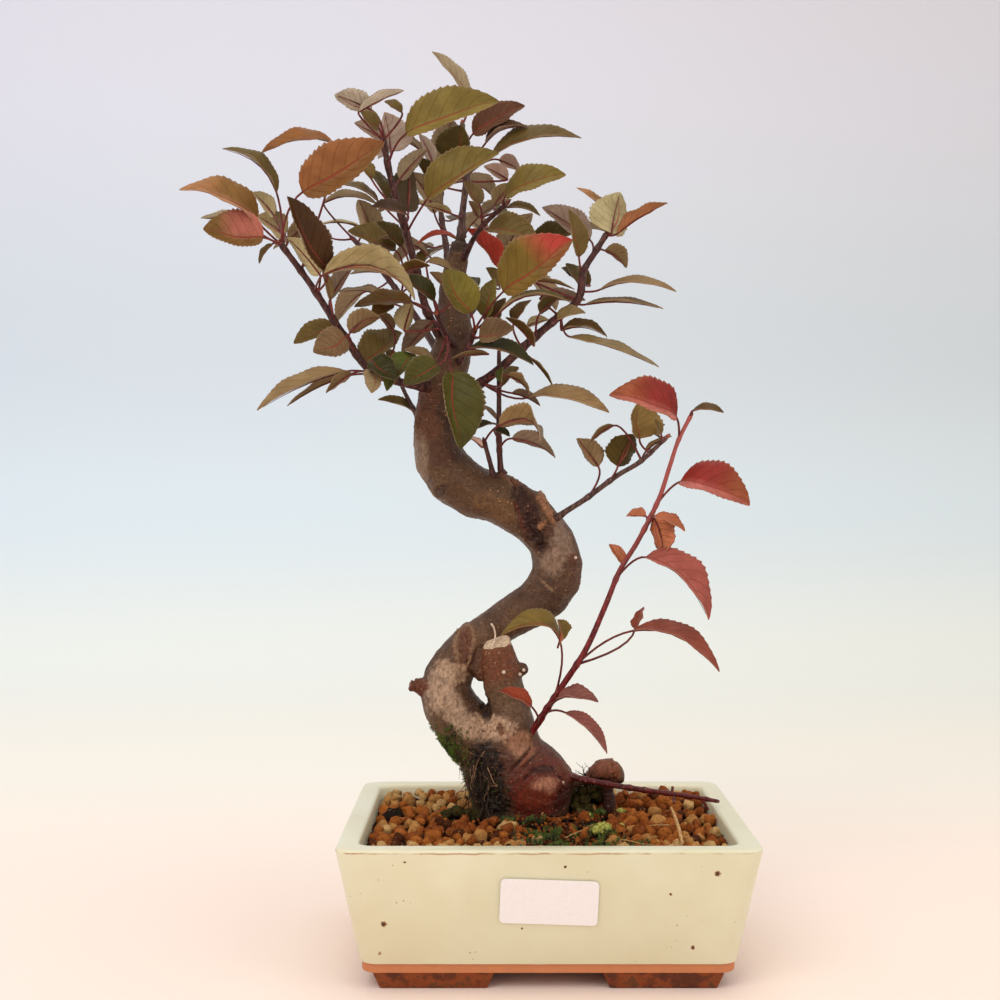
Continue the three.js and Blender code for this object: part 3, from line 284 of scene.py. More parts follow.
def makeCamera():
    camera = bpy.data.objects.new("camera", bpy.data.cameras.new("camera"))
    bpy.context.scene.collection.objects.link(camera)
    camera.location = metres(eye)
    camera.rotation_euler = (math.pi / 2, 0, 0)
    camera.data.sensor_width = cameraForm["film"]
    camera.data.lens = cameraForm["lens"]
    camera.data.shift_x, camera.data.shift_y = cameraForm["shift"]
    camera.data.clip_start = cameraForm["nearest"]
    camera.data.clip_end = cameraForm["farthest"]
    bpy.context.scene.camera = camera


studio = {
    "skyLight": 0.75,
    "skyColour": (1.0, 0.975, 0.95),
    "paper": (               # how far back and up, and the paper's colour there
        (0.0, (0.9, 0.75, 0.665)), (0.4, (0.83, 0.8, 0.72)), (0.9, (0.805, 0.832, 0.785)),
        (1.5, (0.69, 0.775, 0.822)), (2.0, (0.65, 0.71, 0.768)), (2.9, (0.76, 0.757, 0.845)),
    ),
    # left and right: painted light, the backdrop multiplied lighter on the left and darker on the right
    "left": (1.04, 1.055, 1.08),
    "right": (0.96, 0.945, 0.92),
    "floor": 6, "floorMiddle": -1.2, "wall": 3, "cove": 1.1, "coveSteps": 24,
    "key": {"place": (-0.9, -1.3, 1.5), "size": 1.4, "power": 15, "colour": (1.0, 0.95, 0.89)},
    "fill": {"place": (1.3, -0.9, 0.9), "size": 1.4, "power": 6.5, "colour": (1.0, 0.95, 0.9)},
    "top": {"place": (0.1, 0.3, 1.7), "size": 1.6, "power": 7.5, "colour": (1.0, 0.98, 0.96)},
    "lightsAimAt": (0, 0, 0.2),
}


def areaLight(name, place, size, power, colour):
    lamp = bpy.data.lights.new(name, "AREA")
    lamp.shape = "DISK"
    lamp.size = size
    lamp.energy = power
    lamp.color = colour
    light = bpy.data.objects.new(name, lamp)
    bpy.context.scene.collection.objects.link(light)
    light.location = place
    aim = Vector(studio["lightsAimAt"]) - Vector(place)
    light.rotation_euler = aim.to_track_quat("-Z", "Y").to_euler()


def paperMaterial():
    material, shader, coordinates = newMaterial("studio_paper")
    across, back, height = separate(coordinates)
    along = calc("ADD", back, height)
    colour = studio["paper"][0][1]
    for (before, _), (after, shade) in zip(studio["paper"], studio["paper"][1:]):
        colour = mixColour(remap(along, before, after), colour, shade)
    # painted light: the paper is made lighter on the left and darker on the right
    side = mixColour(remap(across, -1, 1), studio["left"], studio["right"])
    coat(shader, mixColour(1.0, colour, side, "MULTIPLY"), 0.9)
    return material


def makeStudio():
    world = bpy.data.worlds.new("studio")
    bpy.context.scene.world = world
    world.use_nodes = True
    background = world.node_tree.nodes["Background"]
    background.inputs["Color"].default_value = (*studio["skyColour"], 1)
    background.inputs["Strength"].default_value = studio["skyLight"]
    for name in ("key", "fill", "top"):
        areaLight(name, **studio[name])
    bpy.context.scene.view_settings.view_transform = "Standard"

    bpy.ops.mesh.primitive_plane_add(size=studio["floor"], location=(0, studio["floorMiddle"], 0))
    floor = bpy.context.object
    floor.name = "floor_and_wall"
    bpy.ops.object.transform_apply(location=True)
    nearBack = studio["floorMiddle"] + studio["floor"] / 2 - 0.1
    bpy.ops.object.mode_set(mode="EDIT")
    selectWhere(floor.data, "edges", lambda e: all(v.co.y > nearBack for v in e.verts))
    bpy.ops.mesh.extrude_region_move(TRANSFORM_OT_translate={"value": (0, 0, studio["wall"])})
    bpy.ops.mesh.select_all(action="SELECT")
    bpy.ops.mesh.normals_make_consistent(inside=False)
    selectWhere(floor.data, "edges",
                lambda e: all(v.co.y > nearBack and v.co.z < 0.1 for v in e.verts))
    bpy.ops.mesh.bevel(offset=studio["cove"], segments=studio["coveSteps"], affect="EDGES")
    bpy.ops.object.mode_set(mode="OBJECT")
    bpy.ops.object.shade_smooth()
    floor.data.materials.append(paperMaterial())
    print("studio made:", len(floor.data.polygons), "faces")


# Leaves and stems

leafForm = {
    "fold": 22, "foldSpread": 9,     # degrees that each half is raised
    "thickness": 0.36,
    "fullness": 1.06,
    "ribShift": 0.46,                # the rib runs nearer the lower edge
    "bow": 0.45,                     # where along the blade its arch is pulled up
    "toothDepth": 0.08, "toothedFrom": 0.7, "toothLean": (-0.25, 0.35),
    "waves": 2.3, "waveHeight": 0.07, "waveSpread": (0.6, 1.7), "waveLag": 1.4,
    "twist": 0.4, "crooked": 0.07, "lopsided": 0.1,
    "quilting": 0.022,
    "veins": 6.5,
    "stalk": 0.54, "stalkFoot": 1.25,
    "rib": ((0.1, 0.85), (0.25, 0.7), (0.42, 0.55), (0.6, 0.42), (0.78, 0.3), (0.94, 0.16)),
    "ribSink": 0.2,
    "largeFrom": 22,                 # longer blades have more teeth
    "largeTeeth": 15, "smallTeeth": 9, "largeAcross": 8, "smallAcross": 6,
    "underFrom": 92,                 # turned further than this, the underside shows
}
stemForm = {
    "pitch": 1.1, "startSteps": 400,
    "startBefore": 2.6, "firstLeaf": 1.5,
    "leafSwell": 0.22, "leafReach": 1.5, "footSwell": 0.35, "footReach": 3.2, "uneven": 0.06,
    "tip": 0.72, "foot": 0.9, "footSink": 2.5, "footNear": 4, "footFar": 9,
    "sharedStalk": 3,                # leaves whose bases are nearer than this share a stalk
}

# Colour of the side that shows in front: right half, left half, then the other side's name
# and, where there is one, the colour that the right half, or the named one, takes on to the tip.
leafColours = {
    "olive": ((110, 90, 44), (106, 86, 42), "pale"),
    "oliveGreen": ((130, 110, 50), (120, 102, 46), "pale"),
    "oliveDark": ((80, 65, 22), (72, 60, 20), "pale"),
    "oliveBrown": ((136, 112, 62), (126, 102, 56), "pale"),
    "olivePale": ((126, 104, 66), (122, 98, 62), "pale"),
    "brown": ((100, 72, 28), (92, 66, 26), "pale"),
    "brownDark": ((68, 42, 16), (74, 46, 18), "mauve"),
    "greenDark": ((54, 52, 14), (50, 49, 13), "pale"),
    "greenBright": ((84, 90, 34), (76, 82, 30), "pale"),
    "green": ((78, 74, 26), (72, 68, 24), "pale"),
    "yellowGreen": ((112, 100, 36), (98, 84, 30), "pale"),
    "yellowOlive": ((142, 122, 76), (132, 110, 68), "pale"),
    "tanOlive": ((154, 126, 84), (146, 116, 76), "pale"),
    "tanBrown": ((154, 132, 96), (144, 120, 86), "pale"),
    "mauveBrown": ((120, 94, 64), (112, 86, 58), "mauve"),
    "orangeGreen": ((140, 100, 48), (192, 142, 104), "pink", (176, 122, 78)),
    "orangeBrown": ((126, 84, 42), (148, 96, 56), "salmon"),
    "brownOrange": ((140, 88, 38), (132, 80, 36), "pale"),
    "orange": ((164, 108, 70), (160, 104, 66), "olive"),
    "redBrown": ((98, 56, 29), (92, 52, 27), "mauve"),
    "redOrange": ((170, 60, 38), (160, 54, 34), "salmon"),
    "deepRed": ((168, 50, 30), (152, 44, 26), "salmon"),
    "greenRed": ((120, 92, 38), (112, 90, 34), "pale", (176, 64, 54), "left"),
    "pinkGreen": ((190, 114, 98), (134, 98, 54), "pink", (128, 98, 52)),
    "red": ((156, 54, 43), (142, 46, 37), "salmon"),
    "redLeft": ((140, 42, 33), (188, 108, 92), "salmon", (152, 80, 48)),
    "redRight": ((180, 98, 86), (140, 42, 33), "salmon", (152, 80, 48), "left"),
    "roseRed": ((180, 106, 92), (162, 84, 72), "purple"),
    "salmon": ((196, 118, 82), (184, 104, 66), "red"),
    "purple": ((150, 94, 84), (142, 86, 76), "purple"),
    "rose": ((166, 106, 98), (146, 84, 74), "purple"),
    "rust": ((150, 64, 38), (142, 58, 34), "salmon"),
    "orangeRed": ((156, 86, 66), (142, 70, 52), "salmon"),
    "oliveOrange": ((128, 104, 44), (132, 96, 46), "salmon"),
    "grayGreen": ((160, 142, 112), (150, 132, 104), "olive"),
    "grayDark": ((88, 72, 48), (84, 68, 44), "olive"),
    "grayPale": ((176, 160, 138), (168, 150, 128), "olive"),
    "paleGray": ((212, 200, 180), (202, 188, 168), "olive"),
    "mauvePale": ((184, 160, 142), (172, 148, 130), "olive"),
    "mauveGray": ((140, 118, 98), (130, 108, 88), "olive"),
    "mauveTan": ((136, 114, 94), (128, 104, 84), "olive"),
    "greenPale": ((186, 172, 128), (174, 158, 116), "olive"),
    "yellowPale": ((176, 158, 112), (168, 148, 104), "olive"),
    "tan": ((136, 112, 78), (128, 104, 70), "olive"),
    "tanPale": ((186, 168, 124), (174, 154, 110), "olive"),
    "pinkPale": ((220, 190, 174), (210, 178, 162), "olive"),
    "pale": ((160, 140, 110), (150, 130, 100), "olive"),
    "mauve": ((150, 124, 108), (140, 114, 98), "olive"),
    "pink": ((184, 138, 118), (176, 126, 104), "olive"),
}


stems = {
    "branch_upper_left": {
        "route": [
            (-46, 279, -3), (-54, 293, -10), (-59, 312, -16), (-65, 334, -22), (-71, 355, -26),
            (-75, 375, -28),
        ],
        "radius": (2.1, 1.3),
        "leaves": [
            (0.94, -80, 387, -32, -97, 394, -42, 0.33, 150, 0.05, "paleGray"),
            (0.98, -86, 386, -36, -65, 396, -32, 0.18, 120, 0.04, "paleGray"),
            (0.88, -71, 368, -20, -74, 386, -10, 0.46, 160, 0.05, "mauvePale"),
            (0.97, -77, 379, -38, -85, 386, -46, 0.36, 40, 0.05, "olive"),
            (0.86, -64, 376, -36, -21, 391, -38, 0.23, 35, 0.1, "oliveGreen"),
            (0.74, -67, 355, -16, -54, 369, -10, 0.22, 150, 0.05, "grayGreen"),
            (0.61, -63, 340, -12, -62, 362, -2, 0.3, 160, 0.05, "grayDark"),
            (0.59, -64, 339, -32, -80, 342, -40, 0.34, 60, 0.08, "brownDark"),
            (0.64, -80, 355, -28, -89, 364, -24, 0.3, 50, 0.08, "olive"),
            (0.55, -54, 346, -34, -21, 367, -42, 0.24, 40, 0.12, "oliveGreen"),
            (0.58, -77, 345, -14, -95, 353, -18, 0.22, 70, 0.1, "olive"),
            (0.37, -66, 312, -26, -53, 315, -32, 0.26, 130, 0.05, "brown"),
            (0.18, -70, 298, -22, -80, 291, -24, 0.36, 30, 0.08, "brown"),
            (0.97, -74, 373, -24, -88, 381, -18, 0.25, 150, 0.05, "mauvePale"),
            (0.98, -66, 386, -26, -74, 391, -24, 0.28, 40, 0.06, "olive"),
            (0.68, -73, 346, -16, -83, 360, -12, 0.28, 60, 0.06, "oliveDark"),
        ],
    },
    "branch_low_left": {
        "route": [
            (-48, 258, -6), (-62, 260, -14), (-80, 266, -22), (-93, 283, -28), (-108, 306, -32),
            (-122, 325, -36),
        ],
        "radius": (2.1, 1.3),
        "leaves": [
            (0.99, -130, 328, -40, -158, 332, -46, 0.36, 20, 0.05, "pinkGreen"),
            (0.98, -136, 332, -28, -159, 337, -32, 0.26, 60, 0.06, "grayGreen"),
            (1.00, -133, 336, -38, -169, 350, -50, 0.24, 50, 0.2, "orangeGreen"),
            (0.98, -124, 349, -34, -149, 369, -42, 0.16, 60, 0.18, "olive"),
            (0.86, -98, 372, -24, -131, 367, -32, 0.17, 60, 0.14, "brownOrange"),
            (1.00, -112, 349, -44, -74, 372, -52, 0.26, 15, 0.04, "orangeBrown"),
            (0.75, -101, 313, -46, -119, 347, -54, 0.21, 25, 0.06, "brownDark"),
            (0.76, -102, 311, -50, -60, 299, -56, 0.24, 125, 0.28, "yellowPale"),
            (0.74, -104, 311, -40, -119, 328, -36, 0.25, 150, 0.05, "greenPale"),
            (0.99, -126, 325, -28, -132, 316, -26, 0.22, 60, 0.08, "olive"),
            (0.98, -125, 338, -24, -135, 349, -18, 0.25, 140, 0.05, "greenPale"),
            (0.98, -120, 329, -22, -133, 338, -14, 0.34, 150, 0.05, "yellowPale"),
            (0.97, -118, 327, -30, -107, 337, -28, 0.3, 150, 0.05, "tan"),
            (0.62, -99, 300, -28, -87, 317, -22, 0.2, 140, 0.05, "mauveGray"),
            (0.61, -99, 299, -38, -103, 314, -42, 0.14, 30, 0.04, "olivePale"),
            (0.53, -97, 287, -20, -116, 279, -22, 0.26, 35, 0.08, "olive"),
            (0.48, -92, 282, -38, -107, 275, -46, 0.42, 15, 0.06, "mauveBrown"),
            (0.44, -90, 284, -36, -76, 291, -42, 0.38, 140, 0.2, "tan"),
            (0.34, -84, 270, -12, -66, 284, -2, 0.4, 40, 0.06, "olive"),
            (0.31, -80, 271, -32, -69, 262, -40, 0.34, 20, 0.1, "greenDark"),
            (0.07, -61, 274, -26, -73, 257, -34, 0.28, 35, 0.1, "greenBright"),
            (0.30, -92, 266, -30, -133, 248, -46, 0.12, 60, 0.05, "tanOlive"),
            (0.31, -91, 264, -22, -119, 250, -26, 0.14, 110, 0.05, "tan"),
            (0.31, -89, 265, -36, -101, 256, -40, 0.3, 120, 0.05, "tan"),
            (0.30, -80, 266, -36, -80, 256, -42, 0.4, 30, 0.08, "tanBrown"),
            (0.30, -70, 285, -12, -77, 293, -10, 0.3, 140, 0.06, "mauveBrown"),
        ],
    },
    "branch_apex": {
        "bark": "grayTwig",
        "route": [(-39, 318, 2), (-38, 338, 6), (-36, 358, 8), (-38, 381, 10)],
        "radius": (1.9, 1.1),
        "leaves": [
            (0.79, -33, 376, 4, -9, 389, -2, 0.27, 40, 0.1, "redBrown"),
            (0.72, -27, 372, 0, -8, 379, -8, 0.24, 70, 0.15, "brownDark"),
            (0.99, -35, 394, 10, -52, 414, 4, 0.17, 45, 0.08, "grayGreen"),
            (0.63, -44, 364, -4, -38, 380, -12, 0.55, 20, 0.05, "oliveDark"),
            (0.59, -51, 361, 0, -58, 376, 8, 0.2, 140, 0.05, "mauvePale"),
            (0.66, -24, 366, -2, 17, 374, -12, 0.15, 58, 0.12, "olive"),
            (0.57, -17, 355, 10, -28, 361, 6, 0.3, 150, 0.05, "pinkPale"),
            (0.61, -21, 364, 16, -11, 359, 14, 0.34, 140, 0.05, "pinkPale"),
            (0.50, -52, 355, 8, -59, 365, 2, 0.34, 30, 0.06, "oliveDark"),
            (0.32, -43, 339, -8, -56, 343, -14, 0.2, 130, 0.05, "tanPale"),
            (0.10, -40, 327, -8, -59, 325, -14, 0.13, 65, 0.2, "redOrange"),
        ],
    },
    "shoot_top_right": {
        "route": [(-40, 316, 1), (-36, 321, -4), (-33, 327, -8), (-28, 334, -12), (-17, 344, -16)],
        "radius": (1.5, 1.0),
        "leaves": [
            (0.92, -18, 347, -18, 10, 357, -28, 0.24, 40, 0.14, "oliveGreen"),
            (0.95, -17, 342, -12, -2, 338, -12, 0.2, 60, 0.12, "olive"),
            (0.87, -31, 338, -10, -35, 345, -8, 0.3, 140, 0.05, "olivePale"),
            (0.61, -26, 332, -20, -3, 327, -28, 0.26, 35, 0.12, "olive"),
            (0.57, -30, 343, -14, -37, 354, -16, 0.32, 30, 0.06, "olivePale"),
            (0.89, -23, 343, -4, -15, 353, 0, 0.3, 140, 0.05, "olivePale"),
        ],
    },
    "branch_right": {
        "route": [
            (-36, 256, -4), (-21, 267, -12), (-9, 278, -16), (5, 290, -20), (16, 300, -22),
            (18, 312, -22), (24, 322, -22), (29, 330, -22),
        ],
        "radius": (2.3, 1.3),
        "leaves": [
            (0.71, 26, 304, -26, 61, 303, -38, 0.13, 70, 0.12, "tanOlive"),
            (0.65, 19, 297, -24, 55, 295, -34, 0.1, 80, 0.06, "olive"),
            (0.57, 12, 282, -28, 53, 268, -40, 0.12, 70, 0.04, "yellowOlive"),
            (0.99, 31, 330, -24, 35, 349, -18, 0.5, 155, 0.05, "greenPale"),
            (0.99, 34, 330, -26, 57, 344, -34, 0.24, 110, 0.04, "orange"),
            (0.92, 28, 322, -18, 38, 314, -20, 0.42, 130, 0.12, "tan"),
            (0.81, 21, 327, -10, -1, 342, -2, 0.25, 150, 0.05, "mauvePale"),
            (0.78, 16, 319, -26, 11, 341, -32, 0.22, 40, 0.05, "olive"),
            (0.67, -5, 308, -26, 14, 304, -24, 0.2, 100, 0.06, "yellowOlive"),
            (0.56, -2, 300, -18, 19, 299, -14, 0.2, 140, 0.05, "mauveGray"),
            (0.32, -6, 272, -12, 4, 259, -8, 0.15, 88, 0.04, "greenPale"),
            (0.08, -17, 264, -16, -7, 255, -20, 0.36, 110, 0.15, "tanOlive"),
            (0.09, -7, 254, -20, 30, 247, -32, 0.17, 60, 0.12, "tanOlive"),
            (0.41, -5, 278, -26, -18, 291, -30, 0.2, 120, 0.06, "brown"),
            (0.72, 17, 305, -12, 10, 316, -6, 0.3, 50, 0.06, "oliveDark"),
            (0.42, -2, 293, -24, 6, 300, -22, 0.34, 140, 0.05, "oliveDark"),
            (0.99, 29, 340, -14, 15, 351, -10, 0.15, 60, 0.05, "orangeGreen"),
            (0.74, 21, 306, -8, 8, 314, -4, 0.3, 40, 0.06, "oliveDark"),
            (0.34, -14, 289, -20, -6, 299, -18, 0.42, 60, 0.06, "brown"),
            (0.52, 6, 290, -34, 19, 293, -36, 0.3, 50, 0.12, "yellowOlive"),
            (0.57, 8, 285, -22, 29, 282, -24, 0.19, 60, 0.16, "brown"),
            (0.42, -8, 287, -8, 2, 290, -2, 0.25, 140, 0.05, "greenPale"),
            (0.09, -20, 261, -24, -19, 268, -28, 0.35, 50, 0.06, "greenBright"),
            (0.09, -15, 256, -8, -2, 250, -6, 0.24, 120, 0.08, "mauveGray"),
        ],
    },
    "shoot_inner": {
        "route": [(-20, 217, -8), (-21, 234, -10), (-21, 248, -8), (-21, 260, -3), (-21, 275, 0)],
        "radius": (1.4, 1.0),
        "leaves": [
            (0.21, -15, 235, -22, 5, 226, -32, 0.22, 130, 0.12, "mauveTan"),
            (0.38, -24, 242, -18, -35, 238, -24, 0.18, 50, 0.1, "greenDark"),
            (0.68, -20, 259, 2, -12, 268, 10, 0.3, 40, 0.06, "olive"),
            (0.29, -23, 239, -16, -16, 236, -20, 0.3, 50, 0.06, "greenDark"),
            (0.37, -22, 244, -4, -30, 251, 0, 0.14, 50, 0.06, "mauveGray"),
        ],
    },
    "spur_inner": {
        "route": [(-23, 211, -8), (-24, 219, -12), (-26, 227, -15), (-28, 234, -16)],
        "radius": (1.3, 1.0),
        "leaves": [
            (0.97, -21, 241, -26, -2, 234, -38, 0.34, 120, 0.36, "tanOlive"),
            (0.94, -29, 231, -20, -36, 236, -24, 0.25, 120, 0.06, "pinkPale"),
        ],
    },
    "shoot_lower_right": {
        "bark": "grayTwig",
        "route": [
            (1, 192, 0), (7, 199, -6), (19, 207, -12), (34, 218, -16), (44, 224, -19),
            (57, 236, -24),
        ],
        "radius": (1.5, 1.0),
        "leaves": [
            (0.38, 25, 222, -14, 15, 235, -18, 0.34, 150, 0.05, "tanBrown"),
            (0.54, 34, 222, -18, 41, 237, -22, 0.5, 150, 0.05, "oliveDark"),
            (0.78, 32, 241, -24, 21, 233, -28, 0.2, 120, 0.08, "olivePale"),
            (0.85, 44, 235, -24, 43, 251, -26, 0.56, 30, 0.06, "oliveBrown"),
            (0.97, 53, 236, -16, 44, 240, -10, 0.3, 60, 0.06, "olive"),
            (0.78, 47, 229, -14, 59, 236, -18, 0.2, 100, 0.08, "tan"),
            (0.97, 54, 237, -30, 51, 244, -32, 0.3, 50, 0.06, "olive"),
        ],
    },
    "shoot_long_red": {
        "bark": "redTwig",
        "from": 0.07,
        "swell": 0.05,
        "route": [
            (-7, 97, -10), (0, 108, -20), (8, 120, -28), (19, 137, -34), (28, 157, -37),
            (35, 174, -38), (43, 187, -39), (53, 207, -41), (58, 222, -42), (62, 234, -43),
            (68, 246, -44),
        ],
        "radius": (1.6, 0.9),
        "leaves": [
            (0.93, 61, 245, -48, 30, 255, -56, 0.27, 35, 0.2, "redLeft"),
            (0.75, 63, 215, -46, 95, 204, -58, 0.3, 40, 0.2, "redRight"),
            (0.68, 51, 198, -42, 55, 180, -48, 0.46, 130, 0.08, "salmon"),
            (0.68, 47, 199, -34, 38, 199, -30, 0.45, 60, 0.08, "salmon"),
            (0.53, 47, 180, -46, 76, 151, -58, 0.22, 45, 0.18, "roseRed"),
            (0.53, 36, 177, -32, 30, 186, -28, 0.3, 40, 0.08, "salmon"),
            (0.28, 41, 146, -46, 81, 127, -60, 0.17, 60, 0.17, "orangeRed"),
            (0.16, 7, 142, -44, -20, 144, -54, 0.2, 45, 0.34, "oliveOrange"),
            (0.12, 6, 114, -34, 25, 113, -44, 0.24, 50, 0.15, "purple"),
            (0.08, 10, 108, -38, 29, 89, -48, 0.17, 45, 0.1, "rose"),
            (0.05, -6, 111, -34, -21, 118, -40, 0.25, 45, 0.1, "rust"),
            (0.99, 69, 248, -46, 83, 247, -52, 0.22, 60, 0.12, "brown"),
            (0.72, 51, 199, -48, 65, 192, -54, 0.28, 60, 0.1, "salmon"),
            (0.28, 42, 147, -45, 46, 157, -40, 0.36, 60, 0.06, "orangeRed"),
            (0.16, 7, 141, -46, 6, 151, -58, 0.28, 60, 0.06, "oliveOrange"),
        ],
    },
    "spur_left": {
        "route": [(-58, 244, 4), (-64, 255, 12), (-68, 264, 18)],
        "radius": (1.2, 0.9),
        "leaves": [
            (0.24, -61, 248, 12, -77, 253, 6, 0.2, 55, 0.1, "olive"),
            (0.95, -68, 267, 22, -74, 277, 26, 0.28, 50, 0.06, "oliveDark"),
        ],
    },
    "branch_back_left": {
        "route": [(-49, 275, 6), (-60, 292, 32), (-74, 311, 50), (-89, 328, 62)],
        "radius": (2.0, 1.1),
        "leaves": [
            (0.97, -102, 344, 50, -77, 343, 54, 0.17, 75, 0.15, "olivePale"),
            (0.95, -84, 332, 60, -104, 334, 52, 0.1, 80, 0.1, "greenPale"),
            (0.59, -76, 312, 46, -90, 311, 44, 0.16, 110, 0.05, "grayPale"),
            (0.52, -69, 322, 36, -91, 331, 34, 0.26, 40, 0.08, "olive"),
            (0.43, -66, 324, 24, -78, 335, 20, 0.3, 40, 0.08, "oliveDark"),
        ],
    },
    "branch_back_right": {
        "route": [(-41, 283, 6), (-30, 299, 28), (-15, 317, 44), (0, 331, 56)],
        "radius": (2.0, 1.1),
        "leaves": [
            (0.60, -20, 314, 18, -36, 332, 8, 0.24, 40, 0.12, "deepRed"),
            (0.80, -5, 327, 30, 15, 331, 24, 0.28, 30, 0.06, "oliveDark"),
            (0.60, -16, 314, 30, -9, 326, 24, 0.28, 40, 0.06, "brown"),
            (0.48, -21, 306, 16, -27, 314, 10, 0.34, 40, 0.06, "olive"),
        ],
    },
    "branch_back": {
        "route": [(-44, 299, 8), (-45, 320, 34), (-48, 343, 50), (-46, 361, 60)],
        "radius": (1.9, 1.1),
        "leaves": [
        ],
    },
    "spur_front_left": {
        "route": [(-41, 276, -6), (-46, 284, -18), (-50, 293, -28)],
        "radius": (1.4, 1.1),
        "leaves": [
            (0.87, -54, 317, -24, -42, 312, -24, 0.25, 60, 0.06, "olivePale"),
            (0.97, -41, 300, -30, -53, 312, -28, 0.22, 140, 0.05, "tan"),
            (0.91, -51, 299, -32, -66, 310, -40, 0.26, 40, 0.08, "greenDark"),
            (0.58, -52, 289, -10, -66, 274, -4, 0.24, 150, 0.05, "mauveGray"),
            (0.64, -65, 285, -22, -61, 298, -18, 0.36, 150, 0.05, "tanPale"),
            (0.45, -51, 269, -22, -65, 276, -28, 0.26, 60, 0.1, "tan"),
            (0.33, -43, 266, -30, -39, 230, -38, 0.28, 15, 0.06, "green"),
            (0.92, -61, 298, -22, -88, 296, -26, 0.2, 50, 0.08, "brown"),
            (0.49, -49, 269, -34, -65, 260, -40, 0.34, 20, 0.08, "green"),
        ],
    },
    "spur_front_right": {
        "route": [(-40, 270, -8), (-35, 278, -18), (-32, 286, -26)],
        "radius": (1.5, 1.1),
        "leaves": [
            (0.98, -19, 303, -36, 13, 327, -46, 0.29, 18, 0.08, "greenRed"),
            (0.92, -34, 293, -34, -46, 313, -34, 0.36, 20, 0.06, "yellowGreen"),
            (0.95, -27, 291, -28, -23, 309, -22, 0.26, 30, 0.05, "yellowGreen"),
            (0.89, -30, 282, -34, -14, 286, -44, 0.32, 25, 0.06, "mauveBrown"),
            (0.67, -34, 277, -32, -5, 269, -44, 0.17, 55, 0.1, "greenDark"),
            (0.73, -24, 285, -24, -18, 300, -18, 0.3, 40, 0.06, "brown"),
            (0.98, -21, 293, -32, 12, 298, -38, 0.1, 80, 0.18, "yellowGreen"),
            (0.49, -26, 274, -26, -43, 272, -30, 0.15, 120, 0.05, "tan"),
        ],
    },
}


# Leaves on the three stems at the back stand in a spiral round the stem.
spirals = {"branch_back_left": (6, 0.42), "branch_back_right": (6, 0.42), "branch_back": (9, 0.3)}
spiralLeaf = {
    "petiole": 11, "length": 32, "width": 0.25, "arch": 0.12, "droop": 0.2, "turn": 137.5,
    "colours": ("olive", "oliveDark", "oliveGreen", "green", "brown", "oliveBrown"),
}
depthShifts = (0, -3, 3, -6, 6, -9, 9, -12, 12, -16, 16, -20, 20, -25, 25, -30, 30, -36, 36)


def smoothPoint(points, t):      # on the centripetal curve through the points
    place = min(t, 1) * (len(points) - 1)
    k = min(int(place), len(points) - 2)
    w = place - k
    p1, p2 = points[k], points[k + 1]
    before = points[k - 1] if k else p1 * 2 - p2
    after = points[k + 2] if k + 2 < len(points) else p2 * 2 - p1
    d0, d1, d2 = ((b - a).length ** 0.5 for a, b in ((before, p1), (p1, p2), (p2, after)))
    slope1 = ((p1 - before) / d0 - (p2 - before) / (d0 + d1) + (p2 - p1) / d1) * d1
    slope2 = ((p2 - p1) / d1 - (after - p1) / (d1 + d2) + (after - p2) / d2) * d1
    square = -3 * p1 + 3 * p2 - 2 * slope1 - slope2
    cube = 2 * p1 - 2 * p2 + slope1 + slope2
    return p1 + slope1 * w + square * w ** 2 + cube * w ** 3


class Path:                      # a curve through points, measured by its length
    def __init__(self, points):
        count = 200
        self.places = [smoothPoint(points, k / count) for k in range(count + 1)]
        self.runs = [0.0]
        for a, b in zip(self.places, self.places[1:]):
            self.runs.append(self.runs[-1] + (b - a).length)
        self.length = self.runs[-1]

    def at(self, part):
        run = min(max(part, 0), 1) * self.length
        k = next((k for k, r in enumerate(self.runs[1:]) if r >= run), len(self.runs) - 2)
        share = (run - self.runs[k]) / (self.runs[k + 1] - self.runs[k])
        return self.places[k].lerp(self.places[k + 1], min(share, 1))

    def along(self, part):
        reach = 0.5 / self.length
        return (self.at(part + reach) - self.at(part - reach)).normalized()


def facing(base, tip, face):     # where a blade's upper side looks
    axis = (tip - base).normalized()
    toEye = (eye - base).normalized()
    front = (toEye - axis * toEye.dot(axis)).normalized()
    skyward = axis.cross(front)
    if skyward.z < 0:
        skyward.negate()
    turn = math.radians(face)
    return front * math.cos(turn) + skyward * math.sin(turn)


def nodePoints(name):            # finds the nearest corner of a solid
    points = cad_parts[name].data.vertices
    tree = KDTree(len(points))
    for vertex in points:
        tree.insert(vertex.co, vertex.index)
    tree.balance()
    return lambda place: tree.find(metres(place))[2] / millimetre


def seenLeaves(stem, nearest):   # where on the stem, base, tip, upper side, width, arch, colour
    for at, bx, bz, by, tx, tz, ty, width, face, arch, colour in stem["leaves"]:
        shift = min(depthShifts, key=lambda s: round(nearest(seen(tx, tz, ty + s)), 2))
        base = seen(bx, bz, by + shift)
        tip = seen(tx, tz, ty + shift)
        yield at, base, tip, facing(base, tip, face), width, arch, colour, face > leafForm["underFrom"]


def seededValues(seed):          # the same draws as the solids' own
    state = seed
    while True:
        state = state * 16807 % 2147483647
        yield state / 2147483647


